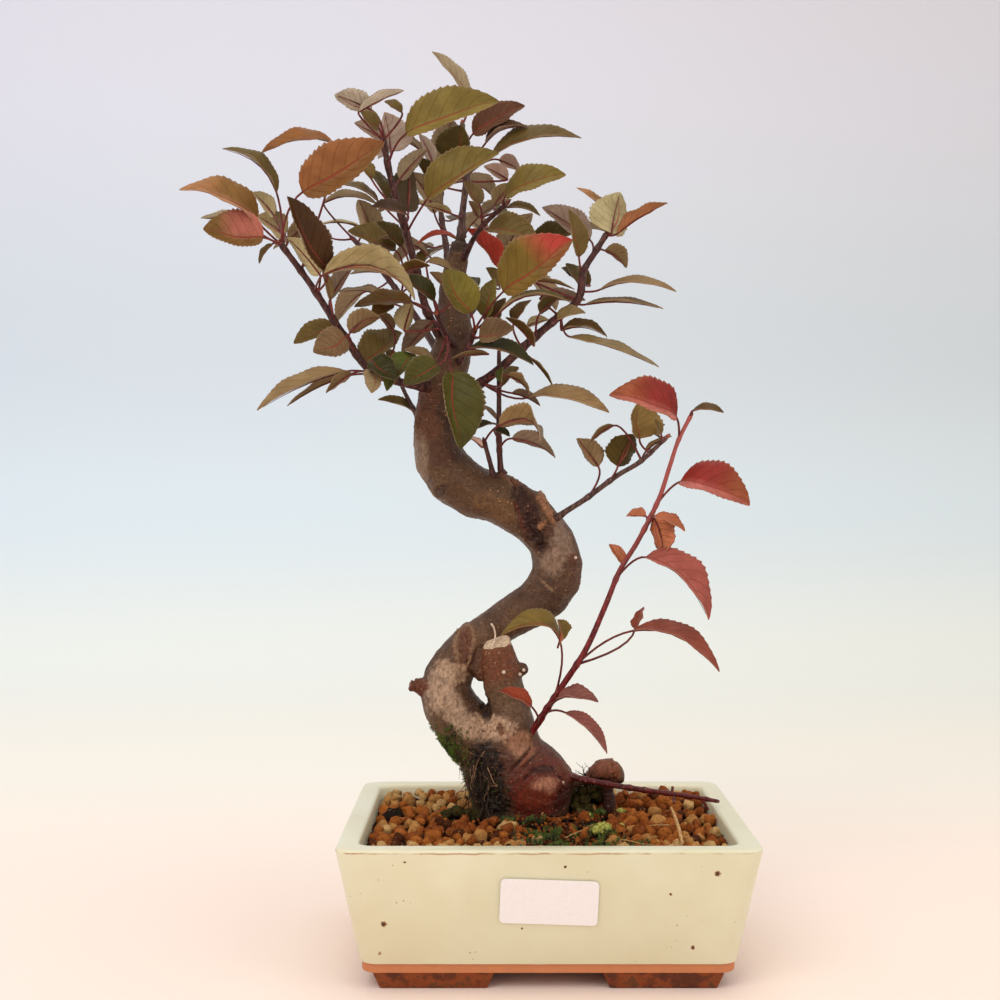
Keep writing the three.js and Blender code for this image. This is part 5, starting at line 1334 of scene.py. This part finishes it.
largeShares = {
    "frontLeft": (0.56, 0.34, 0.08, 0.02, 0), "frontRight": (0.24, 0.26, 0.32, 0.14, 0.04),
    "backLeft": (0.34, 0.36, 0.2, 0.1, 0), "elsewhere": (0.05, 0.17, 0.36, 0.32, 0.1),
}

granuleColours = {
    "pale": (234, 186, 120), "tan": (216, 154, 86), "orange": (190, 109, 45),
    "brown": (160, 84, 33), "dark": (96, 50, 24), "black": (42, 30, 20),
}

# Stones that stand out: middle x, y, radius and colour.
markedStones = {
    "darkLump": (-71, 13, 5, "black"), "tanRight": (54, 2, 5, "tan"),
    "tanFarRight": (69, 4, 4.6, "tan"), "paleFront": (-22, -44, 4, "pale"),
    "paleFrontLeft": (-30, -50, 4.2, "pale"), "pebble": (4.5, -51, 2, "pale"),
    "pebbleBeside": (8.5, -51.5, 1.8, "pale"),
}


def granuleTemplates(material, subdivisions):  # crumbly lumps of baked clay, 1 mm in radius
    templates = []
    for kind in range(7):
        bpy.ops.mesh.primitive_ico_sphere_add(subdivisions=subdivisions, radius=1)
        lump = bpy.context.object
        lump.name = f"granule_template_{kind}"
        offset = Vector((kind * 5.3, 1.7, 9.1))
        for vertex in lump.data.vertices:
            place = vertex.co.copy()
            knobs = abs(noise.noise(place * 1.9 + offset))
            vertex.co *= 0.74 + 0.5 * knobs + 0.42 * noise.noise(place * 1.1 + offset)
        lump.data.color_attributes.new("tint", "FLOAT_COLOR", "POINT")
        lump.data.materials.append(material)
        bpy.ops.object.shade_smooth()
        templates.append(lump)
    return templates


def soilKind(draws, x, y):       # how large and which colour a granule at x, y is
    fine, debris = soilZones["fine"], soilZones["debris"]
    fineness = math.exp(-((x - fine["x"]) / fine["reach"]) ** 2)
    fineness *= 1 if y < fine["to"] else fine["behind"]
    if math.hypot((x - debris["x"]) / debris["rx"], (y - debris["y"]) / debris["ry"]) < 1:
        return draws.choice(("small", "fine")), draws.choice(("black", "black", "dark"))
    if draws.random() < fine["share"] * fineness:
        colours = draws.choices(list(fineShares), list(fineShares.values()))
        return draws.choice(("small", "fine", "fine")), colours[0]
    if y < soilZones["frontTo"]:
        part = "frontLeft" if x < soilZones["frontRight"] else "frontRight"
    else:
        part = "backLeft" if y > soilZones["backFrom"] and x < 0 else "elsewhere"
    return "large", draws.choices(largeColours, largeShares[part])[0]


def heap(x, y):                  # how far the soil rises before the trunk and along the back
    (x0, y0), (rx, ry) = heapForm["middle"], heapForm["reach"]
    front = math.exp(-((x - x0) / rx) ** 2 - ((y - y0) / ry) ** 2)
    back = min(max((y - heapForm["backFrom"]) / heapForm["backOver"], 0), 1)
    return heapForm["high"] * front + heapForm["backHigh"] * back


def makeBed(material):           # the soil under and between the granules
    bed = copyOf("soil")
    surface = surfaceOf(bed)
    applyModifier(bed, "SUBSURF", subdivision_type="SIMPLE", levels=1, render_levels=1)
    bed.data.color_attributes.new("tint", "FLOAT_COLOR", "POINT")
    for vertex in bed.data.vertices:
        p = vertex.co / millimetre
        bed.data.color_attributes["tint"].data[vertex.index].color = (*rgb(*soilForm["bedTint"]), 1)
        if p.z > soilForm["bedTop"]:
            level = 0.9 * noise.noise(p * 0.5) - soilForm["bedSink"] + heap(p.x, p.y)
            vertex.co.z += level * millimetre
    bed.data.materials.append(material)
    return bed, surface


def fits(x, y, radius, kept):    # clear of the tree's foot, of the wall and of other granules
    holeX, holeY, holeRx, holeRy = soilForm["treeHole"]
    if ((x - holeX) / (holeRx - radius)) ** 2 + ((y - holeY) / (holeRy - radius)) ** 2 < 1:
        return False
    edge = soilForm["edge"]
    if abs(x) > soilForm["halfX"] + edge - radius or abs(y) > soilForm["halfY"] + edge - radius:
        return False
    spacing = soilForm["spacing"]
    return all((x - a) ** 2 + (y - b) ** 2 >= (spacing * (radius + r)) ** 2 for a, b, r in kept)


def granuleAt(template, place, radius, colour, draws):
    stone = copied(template)
    scale = Matrix.Diagonal((1, draws.uniform(0.75, 1), draws.uniform(0.7, 0.95), 1))
    spin = Euler([draws.uniform(0, fullTurn) for _ in range(3)]).to_matrix().to_4x4()
    size = Matrix.Scale(soilForm["lumpScale"] * radius * millimetre, 4)
    stone.data.transform(Matrix.Translation(metres(place)) @ spin @ scale @ size)
    tone = draws.uniform(0.85, 1.12)
    shade = (*(tone * c for c in rgb(*granuleColours[colour])), 1)
    stone.data.color_attributes["tint"].data.foreach_set("color", shade * len(stone.data.vertices))
    return stone


def makeSoil():
    draws = random.Random(5)
    material = granuleMaterial()
    bed, surface = makeBed(material)
    templates = {}
    for size in soilForm["radius"]:
        templates[size] = granuleTemplates(material, 1 if size == "fine" else 2)
    kept = []
    pieces = [bed]
    planned = list(markedStones.values())
    for _ in range(soilForm["tries"]):
        x = draws.uniform(-soilForm["halfX"], soilForm["halfX"])
        y = draws.uniform(-soilForm["halfY"], soilForm["halfY"])
        size, colour = soilKind(draws, x, y)
        radius = draws.uniform(*soilForm["radius"][size])
        if planned:
            x, y, radius, colour = planned.pop()
            size = "large"
        if not fits(x, y, radius, kept):
            continue
        kept.append((x, y, radius))
        hit = below(surface, x, y)
        level = min(hit.z / millimetre if hit else soilForm["level"], soilForm["highestLevel"])
        height = level + radius * draws.uniform(-0.2, 0.35) - 0.5
        height = min(height, soilForm["highest"] - radius) + heap(x, y)
        template = draws.choice(templates[size])
        pieces.append(granuleAt(template, (x, y, height), radius, colour, draws))
    soil = joinPieces("soil_fine", pieces)
    for template in (t for group in templates.values() for t in group):
        bpy.data.objects.remove(template)
    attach(soil, "root")
    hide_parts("soil")
    print("soil:", len(kept), "granules,", len(soil.data.polygons), "faces")
    return surface


def granuleMaterial():
    material, shader, coordinates = newMaterial("baked_clay")
    tint = attribute(shader, "tint")
    crumb = grain(coordinates, 520, 6.0, 0.75)
    dark = mixColour(0.75, tint, (0.38, 0.24, 0.13), "MULTIPLY")
    colour = mixColour(remap(crumb, 0.34, 0.52), dark, tint)
    chalk = spots(coordinates, 520, 0.13, 0.1)
    colour = mixColour(times(chalk, 0.3), colour, rgb(232, 196, 140))
    coat(shader, colour, 0.95, 0.15)
    bump(shader, crumb, 1.0, 0.0028)
    return material


# Moss, lichen, rootlets and straw

mossPatches = {                  # middle x, y in the pot, half sizes, how many tufts
    "front": (25, -44, 24, 8, 360),
    "frontLeft": (-3, -33, 12, 15, 420),
    "beforeTrunk": (-8, -4, 13, 6, 260),
    "middle": (14, -24, 18, 9, 260),
    "byTheRoot": (22, 10, 7, 7, 160),
}
mossForm = {
    "bareBelow": -0.02, "inside": 52, "highestSoil": 0.061, "onLump": 5,
    "onTrunk": 1500, "onTheLeft": 0.8,   # these try the trunk's left edge, the rest its dark roots
    "left": ((-45, 4.2), (90, 6.5)), "roots": ((-31, 7), (72, 6)),
    "depth": (-22, 12), "nearest": 0.006, "highestOnTrunk": 0.101, "facing": 0.4,
}


def mossTemplate(material):
    bpy.ops.mesh.primitive_cone_add(vertices=4, radius1=0.26, radius2=0.05, depth=1.5,
                                    location=(0, 0, 0.6))
    tuft = bpy.context.object
    tuft.name = "moss_template"
    bpy.ops.object.transform_apply(location=True)
    bpy.ops.object.mode_set(mode="EDIT")
    bpy.ops.mesh.select_all(action="SELECT")
    for turn, tilt in ((1.3, 0.6), (2.7, -0.5)):
        bpy.ops.mesh.duplicate()
        bpy.ops.transform.rotate(value=tilt, orient_axis="X", center_override=(0, 0, 0))
        bpy.ops.transform.rotate(value=turn, orient_axis="Z", center_override=(0, 0, 0))
    bpy.ops.object.mode_set(mode="OBJECT")
    tuft.data.materials.append(material)
    return tuft


def scattered(draws, x, y, rx, ry):   # a place in an ellipse and how far out it lies
    angle, reach = draws.uniform(0, fullTurn), math.sqrt(draws.random())
    return x + rx * reach * math.cos(angle), y + ry * reach * math.sin(angle), reach


def makeMoss(soilSurface, trunkSurface, mossed):
    draws = random.Random(9)
    template = mossTemplate(mossMaterial())
    tufts = []

    def grow(place, along, size):
        tuft = copied(template)
        turn = along.to_track_quat("Z", "Y").to_matrix().to_4x4()
        spin = Matrix.Rotation(draws.uniform(0, fullTurn), 4, "Z")
        scale = Matrix.Scale(size * millimetre, 4)
        tuft.data.transform(Matrix.Translation(place) @ turn @ spin @ scale)
        tufts.append(tuft)

    for *ellipse, count in mossPatches.values():
        for _ in range(count):
            x, y, _ = scattered(draws, *ellipse)
            if noise.noise(Vector((x * 0.16, y * 0.2, 4))) < mossForm["bareBelow"]:
                continue
            if abs(y) > mossForm["inside"]:
                continue
            hit = below(soilSurface, x, y)
            if hit and hit.z < mossForm["highestSoil"]:
                lean = Vector((draws.uniform(-0.5, 0.5), draws.uniform(-0.5, 0.5), 1)).normalized()
                rise = (draws.uniform(0.4, 2.2) + heap(x, y)) * millimetre
                grow(hit + up * rise, lean, draws.uniform(0.7, 1.4))
    for x, y, z, size in mossed:
        for _ in range(mossForm["onLump"]):
            out = Vector([draws.uniform(low, 1) for low in (-1, -1, 0)]).normalized()
            grow(metres(Vector((x, y, z)) + out * size * 0.8), out, draws.uniform(0.4, 0.8))
    for _ in range(mossForm["onTrunk"]):
        left = draws.random() < mossForm["onTheLeft"]
        x, z = (draws.gauss(*spread) for spread in mossForm["left" if left else "roots"])
        place = seenPlace(x, z, draws.uniform(*mossForm["depth"]))
        hit, normal = trunkSurface.find_nearest(place)[:2]
        near = (hit - place).length < mossForm["nearest"] and hit.z < mossForm["highestOnTrunk"]
        if near and normal.x < mossForm["facing"]:
            size = draws.uniform(0.6, 1.2) * (1 if left else 0.7)
            grow(hit, (normal + up * 0.3).normalized(), size)
    moss = joinPieces("moss", tufts)
    bpy.data.objects.remove(template)
    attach(moss, "root")
    print("moss:", len(tufts), "tufts")


def mossMaterial():
    material, shader, coordinates = newMaterial("moss")
    patch = remap(grain(coordinates, 160, 3.0), 0.38, 0.62)
    colour = mixColour(patch, rgb(32, 40, 12), rgb(92, 114, 32))
    bright = remap(grain(coordinates, 900, 2.0), 0.5, 0.7, 0.0, 0.6)
    colour = mixColour(bright, colour, rgb(128, 146, 52))
    onGround = remap(separate(coordinates)[2], 0.066, 0.084, 1.0, 0.0)
    colour = mixColour(times(onGround, 0.85), colour, (0.62, 0.58, 0.56), "MULTIPLY")
    coat(shader, colour, 0.8)
    return material


lichenLumps = (                  # x, y, radius and material
    (25.5, -19, 4.2, "lichen"), (22.5, -21, 3, "lichen"), (35, -9, 1.9, "lichen"),
    (21, 10, 2.6, "lichen"), (37, 19, 2.4, "lichen"),
    (-12.6, -38, 1.2, "sprouts"), (-13.6, -36.4, 0.9, "sprouts"), (-11.8, -41.5, 1.3, "sprouts"),
    (-13.4, -42.5, 1, "sprouts"), (-10.8, -36.5, 0.8, "sprouts"),
)

humusHeaps = {                   # middle x, y, half sizes, how high and how many lumps
    "byTheRoot": (22, 25, 12, 9, 13.5, 62),
    "leftOfTheFoot": (-38, 11, 10, 5, 2.4, 22),
}


def humusLumps():
    draws = random.Random(31)
    for *ellipse, high, count in humusHeaps.values():
        for _ in range(count):
            x, y, reach = scattered(draws, *ellipse)
            lift = high * (1 - reach ** 2) * draws.uniform(0.6, 1)
            yield x, y, draws.uniform(1.8, 3.2), "humus", lift


def crustMaterial(name, dark, light):
    material, shader, coordinates = newMaterial(name)
    crust = grain(coordinates, 800, 5.0, 0.7)
    colour = mixColour(remap(crust, 0.35, 0.62), dark, light)
    coat(shader, colour, 0.9, 0.12)
    bump(shader, crust, 0.8, 0.001)
    return material


def makeLichen(soilSurface):
    materials = {
        "lichen": crustMaterial("lichen", rgb(96, 104, 40), rgb(196, 190, 98)),
        "sprouts": crustMaterial("sprouts", rgb(78, 104, 84), rgb(132, 158, 130)),
        "humus": crustMaterial("humus", rgb(26, 18, 8), rgb(72, 60, 26)),
    }
    lumps = []
    mossed = []
    planned = [(*lump, 0) for lump in lichenLumps] + list(humusLumps())
    for x, y, size, kind, lift in planned:
        hit = below(soilSurface, x, y)
        if not hit:
            continue
        fineness = 3 if kind == "humus" else 4
        bpy.ops.mesh.primitive_ico_sphere_add(subdivisions=fineness, radius=size * millimetre)
        lump = bpy.context.object
        for vertex in lump.data.vertices:
            p = vertex.co / millimetre
            knobs = abs(noise.noise(p * 0.7 + Vector((x, y, 0))))
            vertex.co *= 0.8 + 0.5 * knobs + 0.12 * noise.noise(p * 2.6)
            vertex.co.z *= 0.8
        place = min(hit.z / millimetre, soilForm["highestLevel"]) + size * 0.35 + heap(x, y) + lift
        if kind == "humus":
            mossed.append((x, y, place, size))
        lump.data.transform(Matrix.Translation(metres((x, y, place))))
        lump.data.materials.append(materials[kind])
        lumps.append(lump)
    lichen = joinPieces("lichen", lumps)
    bpy.ops.object.shade_smooth()
    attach(lichen, "root")
    print("lichen and humus:", len(lumps), "lumps")
    return mossed


rootForm = {"fromFoot": 60, "fromOldRoot": 16, "paleEvery": 6, "step": 1.2, "thinning": 0.6}
straw = (                        # the long blade of straw: place and radius
    ((58.5, -2, 64.5), 0.6), ((58.6, -14, 63.6), 0.8), ((58.3, -30, 62), 0.85), ((57.4, -48, 60.4), 0.7),
)
litterForm = {"pieces": 7, "acrossPot": (-10, 74), "alongPot": (-48, 40), "level": 60.4, "radius": 0.28}


def wander(draws, start, heading, length, radius, sag, bendiness):   # a thin root's line
    line = []
    place, way = Vector(start), Vector(heading).normalized()
    steps = max(6, int(length / rootForm["step"]))
    for k in range(steps + 1):
        line.append((place.copy(), radius * (1 - rootForm["thinning"] * k / steps)))
        bend = Vector([draws.gauss(0, bendiness) for _ in range(3)])
        way = (way + bend - up * sag).normalized()
        place = place + way * length / steps
        place.z = max(place.z, soilForm["lowestRoot"])
    return line


def rootletLines(trunkSurface):
    draws = random.Random(21)
    lines = []
    for _ in range(rootForm["fromFoot"]):       # out of the dark root mass at the foot
        place = frontOf(trunkSurface, draws.gauss(-30, 4.5), draws.uniform(64, 94))
        start = (place - potPlace) / millimetre
        heading = (draws.uniform(-0.7, 0.7), draws.uniform(-0.5, 0.1), draws.uniform(-1, 0.1))
        thick = draws.uniform(0.14, 0.36)
        lines.append(wander(draws, start, heading, draws.uniform(6, 17), thick, 0.16, 0.26))
    for _ in range(rootForm["fromOldRoot"]):    # bristly end of the old root
        start = seen(draws.uniform(16, 22), draws.uniform(76, 80), draws.uniform(-2, 3))
        heading = (draws.uniform(-0.6, 0.6), -0.3, draws.uniform(0.2, 1))
        length = draws.uniform(4, 9)
        lines.append(wander(draws, start, heading, length, draws.uniform(0.14, 0.3), 0.02, 0.25))
    litter = [straw]
    for _ in range(litterForm["pieces"]):
        x, y = draws.uniform(*litterForm["acrossPot"]), draws.uniform(*litterForm["alongPot"])
        heading = (draws.uniform(-1, 1), draws.uniform(-1, 1), 0.1)
        length = draws.uniform(6, 16)
        start = (x, y, litterForm["level"])
        litter.append(wander(draws, start, heading, length, litterForm["radius"], 0.02, 0.12))
    return lines, litter


def makeRootlets(trunkSurface):
    pale = twigMaterial("pale_rootlet", rgb(120, 84, 58), rgb(178, 140, 104), 0.7, 0.0)
    dark = twigMaterial("dark_rootlet", rgb(38, 26, 20), rgb(70, 50, 38), 0.7, 0.0)
    lines, litter = rootletLines(trunkSurface)
    count, every = rootForm["fromFoot"], rootForm["paleEvery"]
    paleLines = lines[:count:every]
    darkLines = [line for k, line in enumerate(lines) if k % every or k >= count]
    rootlets = joinPieces("rootlets", [tubes("rootlets", paleLines, pale, 1),
                                       tubes("dark_rootlets", darkLines, dark, 1)])
    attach(rootlets, "root")

    strawColour = twigMaterial("straw", rgb(158, 112, 62), rgb(212, 172, 112), 0.7, 0.0)
    strawPiece = tubes("straw", litter, strawColour, 1)
    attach(strawPiece, "root")


# Low red shoot over the soil

lowShoot = {
    "route": (
        (5, 80.2, -2), (12.8, 78.4, -6), (28, 75.2, -8), (44, 72.6, -9), (72, 68.6, -10),
        (81, 66.9, -10),
    ),
    "radius": (1.7, 0.9), "start": 0.06, "steps": 90,
    "knots": (0.08, 0.2, 0.33, 0.46, 0.55, 0.68, 0.8, 0.92), "knotSwell": 0.3, "knotReach": 1.1,
    "twigs": (
        ((59, 70.2, -9.5), (59.4, 74, -9)),
        ((60, 70.2, -9.5), (60, 66, -12)),
        ((73, 68.2, -10), (76, 63, -11)),
    ),
}


def makeLowShoot():
    path = Path([seen(*point) for point in lowShoot["route"]])
    thick, thin = lowShoot["radius"]
    first, steps, reach = lowShoot["start"], lowShoot["steps"], lowShoot["knotReach"]
    line = []
    for k in range(steps + 1):
        t = first + (1 - first) * k / steps
        radius = thick + (thin - thick) * t
        near = max(math.exp(-((t - knot) * path.length / reach) ** 2) for knot in lowShoot["knots"])
        radius *= 1 + lowShoot["knotSwell"] * near
        line.append((path.at(t), radius * (0.7 if k == steps else 1)))
    lines = [line]
    for twig in lowShoot["twigs"]:
        start, end = (seen(*point) for point in twig)
        lines.append([(start.lerp(end, k / 5), 0.8 - 0.04 * k) for k in range(6)])
    material = twigMaterial("red_shoot_bark", rgb(62, 16, 16), rgb(104, 34, 30), 0.26, 0.25)
    shoot = tubes("low_shoot_fine", lines, material, 4)
    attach(shoot, "root")
    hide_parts("low_shoot")


# Pot

potForm = {
    "glazeBottom": 11.4, "bandBottom": 7.4, "rimWidth": 9.5, "floorTop": 17,
    "lean": (9.5, 10.4), "bandInset": 1.0, "innerLean": 6,
    "corner": 8, "rimRound": 1.8, "edgeRound": 0.35, "wallSlope": 0.213,
    "drainPlace": 40, "drainRadius": 9, "drainDeep": 0.03,
    "footFrom": 22.5, "footInset": 5.5, "footFront": 1.5, "footBar": 13, "footArm": 32.5,
    "footTaper": 3.4, "footTaperY": 0.6, "footRound": 0.8,
}


def nearLevel(element, level):
    return all(abs(v.co.z / millimetre - level) < 0.02 for v in element.verts)


def makePot():
    size = (potHigh - potLow) / millimetre
    bottom = potForm["glazeBottom"]
    bpy.ops.mesh.primitive_cube_add(size=1, location=metres((0, 0, (size.z + bottom) / 2)))
    pot = bpy.context.object
    pot.name = "pot_fine"
    pot.scale = Vector((size.x, size.y, size.z - bottom)) * millimetre
    bpy.ops.object.transform_apply(location=True, scale=True)
    mesh = pot.data
    middle = tuple(potPlace)
    bpy.ops.object.mode_set(mode="EDIT")
    selectWhere(mesh, "faces", lambda f: nearLevel(f, bottom))
    foot = [(size[k] / 2 - potForm["lean"][k]) / (size[k] / 2) for k in (0, 1)]
    bpy.ops.transform.resize(value=(foot[0], foot[1], 1), center_override=middle)
    selectWhere(mesh, "edges", lambda e: abs(e.verts[0].co.z - e.verts[1].co.z) > 0.01)
    bpy.ops.mesh.bevel(offset=potForm["corner"] * millimetre, segments=7, affect="EDGES")
    selectWhere(mesh, "faces", lambda f: nearLevel(f, bottom))
    bpy.ops.mesh.inset(thickness=potForm["bandInset"] * millimetre)
    bpy.ops.mesh.extrude_region_move(
        TRANSFORM_OT_translate={"value": (0, 0, (potForm["bandBottom"] - bottom) * millimetre)})
    selectWhere(mesh, "faces", lambda f: nearLevel(f, size.z))
    rim = [1 - 2 * potForm["rimWidth"] / size[k] for k in (0, 1)]
    bpy.ops.mesh.extrude_region_move(TRANSFORM_OT_translate={"value": (0, 0, 0)})
    bpy.ops.transform.resize(value=(rim[0], rim[1], 1), center_override=middle)
    bpy.ops.mesh.extrude_region_move(
        TRANSFORM_OT_translate={"value": (0, 0, (potForm["floorTop"] - size.z) * millimetre)})
    inner = [(half - lean - potForm["innerLean"]) / (half - potForm["rimWidth"])
             for half, lean in zip(size.xy / 2, potForm["lean"])]
    bpy.ops.transform.resize(value=(inner[0], inner[1], 1), center_override=middle)
    selectWhere(mesh, "edges", lambda e: nearLevel(e, size.z) and len(
        [f for f in e.link_faces if not nearLevel(f, size.z)]) == 1)
    bpy.ops.mesh.bevel(offset=potForm["rimRound"] * millimetre, segments=4, affect="EDGES")
    bpy.ops.object.mode_set(mode="OBJECT")
    for sx in (-1, 1):
        cutHole(pot, metres((sx * potForm["drainPlace"], 0, potForm["floorTop"])))
    applyModifier(pot, "BEVEL", width=potForm["edgeRound"] * millimetre, segments=2,
                  limit_method="ANGLE", angle_limit=math.radians(50))
    feet = [makeFoot(sx, sy, size, foot) for sx in (-1, 1) for sy in (-1, 1)]
    pot = joinPieces("pot_fine", [pot, *feet])
    bpy.ops.object.shade_smooth_by_angle(angle=math.radians(38))
    pot.data.materials.clear()
    pot.data.materials.append(glazeMaterial(size))
    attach(pot, "root")
    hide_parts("pot")
    print("pot made")


def cutHole(pot, place):
    bpy.ops.mesh.primitive_cylinder_add(vertices=32, radius=potForm["drainRadius"] * millimetre,
                                        depth=potForm["drainDeep"], location=place)
    cutter = bpy.context.object
    applyModifier(pot, "BOOLEAN", operation="DIFFERENCE", object=cutter)
    bpy.data.objects.remove(cutter)


def makeFoot(sx, sy, size, foot):    # one L-shaped corner foot with leaning ends
    outerX = foot[0] * size.x / 2 - potForm["footInset"]
    outerY = foot[1] * size.y / 2 - potForm["footFront"]
    bars = [((potForm["footFrom"], outerX), (outerY - potForm["footBar"], outerY)),
            ((outerX - potForm["footBar"], outerX), (outerY - potForm["footArm"], outerY))]
    pieces = []
    for (x0, x1), (y0, y1) in bars:
        bpy.ops.mesh.primitive_cube_add(size=1)
        bar = bpy.context.object
        for vertex in bar.data.vertices:
            low = vertex.co.z < 0
            inset = potForm["footTaper"] if low else 0
            x = (x0 + inset) if vertex.co.x < 0 else (x1 - inset)
            inset *= potForm["footTaperY"]
            y = (y0 + inset) if vertex.co.y < 0 else (y1 - inset)
            vertex.co = metres((sx * x, sy * y, 0 if low else potForm["bandBottom"] + 1))
        bar.data.update()
        pieces.append(bar)
    first, second = pieces
    for bar in pieces:
        selectOnly(bar)
        bpy.ops.object.mode_set(mode="EDIT")
        bpy.ops.mesh.select_all(action="SELECT")
        bpy.ops.mesh.normals_make_consistent(inside=False)
        bpy.ops.object.mode_set(mode="OBJECT")
    applyModifier(first, "BOOLEAN", operation="UNION", object=second)
    bpy.data.objects.remove(second)
    applyModifier(first, "BEVEL", width=potForm["footRound"] * millimetre, segments=3,
                  limit_method="ANGLE", angle_limit=math.radians(30))
    return first


# Pits in the glaze of the front wall: place (x, z) and radius.
glazePits = {
    "upperRight": ((69.8, 52), 1.25), "left": ((-69.3, 29.6), 1.25), "lowerLeft": ((-70.9, 16.5), 0.8),
    "lowerRight": ((60.6, 19.2), 0.9), "top": ((6.4, 55), 0.6), "middle": ((-11.4, 27.6), 0.5),
    "right": ((50.5, 43), 0.55), "farLeft": ((-60, 57), 0.5),
}


def pitMasks(coordinates, size):   # the pits in the glaze and the brown rings round them
    behindFront = remap(separate(coordinates)[1], potLow.y + 0.02, potLow.y + 0.03)
    pits = times(spots(coordinates, 24, 0.02, 0.01), behindFront)
    rings = pits
    ragged = wobble(coordinates, 900, 3.0, 0.0016)
    for (x, z), radius in glazePits.values():
        middle = metres((x, potForm["wallSlope"] * (size.z - z) - size.y / 2, z))
        away = put("ShaderNodeVectorMath", {0: coordinates, 1: middle}, operation="DISTANCE")
        away = calc("ADD", away.outputs["Value"], ragged)
        edge = radius * millimetre
        inPit = remap(away, edge * 0.55, edge * 0.75, 1.0, 0.0)
        inRing = remap(away, edge * 0.8, edge * 1.25, 1.0, 0.0)
        pits = calc("MAXIMUM", pits, inPit)
        rings = calc("MAXIMUM", rings, inRing)
    return pits, rings


def bareClay(coordinates, height, mottled):
    clay = mixColour(remap(mottled, 0.38, 0.62), rgb(84, 34, 4), rgb(158, 70, 12))
    stain = remap(grain(coordinates, 130, 6.0, 0.7), 0.48, 0.62, 0.0, 0.75)
    stain = times(stain, remap(height, 0.0055, 0.008, 1.0, 0.2))
    clay = mixColour(stain, clay, rgb(54, 40, 16))
    onBand = remap(height, 0.007, 0.0078, 0.0, 0.85)
    return mixColour(onBand, clay, rgb(202, 130, 86))


def glazeMaterial(size):
    material, shader, coordinates = newMaterial("glaze_and_clay")
    height = separate(coordinates)[2]
    uneven = wobble(coordinates, 60, 4.0, 0.0016)
    glazed = remap(calc("ADD", height, uneven), 0.01115, 0.01165)

    cloud = remap(grain(coordinates, 22, 3.0), 0.3, 0.7)
    glaze = mixColour(cloud, rgb(217, 209, 176), rgb(226, 222, 194))
    thin = remap(grain(coordinates, 8, 2.0), 0.4, 0.65, 0.0, 0.35)
    glaze = mixColour(thin, glaze, rgb(202, 201, 168))
    specks = spots(coordinates, 260, 0.07, 0.06)
    specks = times(specks, remap(grain(coordinates, 55), 0.52, 0.62))
    glaze = mixColour(times(specks, 0.6), glaze, rgb(120, 90, 56))
    pits, rings = pitMasks(coordinates, size)
    glaze = mixColour(rings, glaze, rgb(158, 110, 66))
    glaze = mixColour(pits, glaze, rgb(66, 34, 20))
    glaze = mixColour(rimLine(coordinates, height, size), glaze, rgb(172, 130, 96))

    mottled = grain(coordinates, 130, 5.0, 0.65)
    colour = mixColour(glazed, bareClay(coordinates, height, mottled), glaze)
    coat(shader, colour, minus(0.85, times(glazed, 0.57)))
    bump(shader, times(grain(coordinates, 45, 2.0), glazed), 0.12, 0.003)
    bump(shader, times(mottled, minus(1.0, glazed)), 0.5, 0.0012)
    bump(shader, times(pits, -1.0), 0.5, 0.0008)
    return material


def rimLine(coordinates, height, size):    # where the glaze broke along the rim's outer edge
    x, y, _ = separate(coordinates)
    offX = calc("ABSOLUTE", minus(x, potPlace.x))
    offY = calc("ABSOLUTE", minus(y, potPlace.y))
    outX = minus(offX, size.x / 2000 - 0.0004)
    outY = minus(offY, size.y / 2000 - 0.0004)
    onEdge = remap(calc("MAXIMUM", outX, outY), -0.0012, -0.0004)
    level = minus(height, size.z / 1000 - 0.0013)
    line = calc("ABSOLUTE", calc("ADD", level, wobble(coordinates, 120, 4.0, 0.0012)))
    near = remap(line, 0.00015, 0.0005, 1.0, 0.0)
    broken = remap(grain(coordinates, 70, 4.0), 0.4, 0.6, 0.1, 0.9)
    return times(times(near, onEdge), broken)


def plainMaterial(name, scale, low, dark, light, roughness, relief):
    material, shader, coordinates = newMaterial(name)
    fibre = grain(coordinates, scale, 4.0)
    coat(shader, mixColour(remap(fibre, low, 0.7), dark, light), roughness)
    bump(shader, fibre, *relief)
    return material


def dressKeptNodes():            # label and screens keep their solids
    paper = plainMaterial("blank_paper", 900, 0.3, rgb(234, 228, 228), rgb(238, 233, 233), 0.5,
                          (0.06, 0.0003))
    plastic = plainMaterial("screen_plastic", 400, 0.4, rgb(38, 40, 42), rgb(62, 60, 56), 0.6,
                            (0.2, 0.0004))
    for node, material in (("label_blank", paper), ("drainage_screen_left", plastic),
                           ("drainage_screen_right", plastic)):
        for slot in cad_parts[node].material_slots:
            slot.material = material


# The scene

makeStudio()
makeCamera()
makePot()
dressKeptNodes()
trunk = makeTrunk()
soilSurface = makeSoil()
trunkSurface = surfaceOf(trunk)
makeTrunkDots(trunkSurface)
makeMoss(soilSurface, trunkSurface, makeLichen(soilSurface))
makeRootlets(trunkSurface)
makeLowShoot()
makeCanopy(trunkSurface)
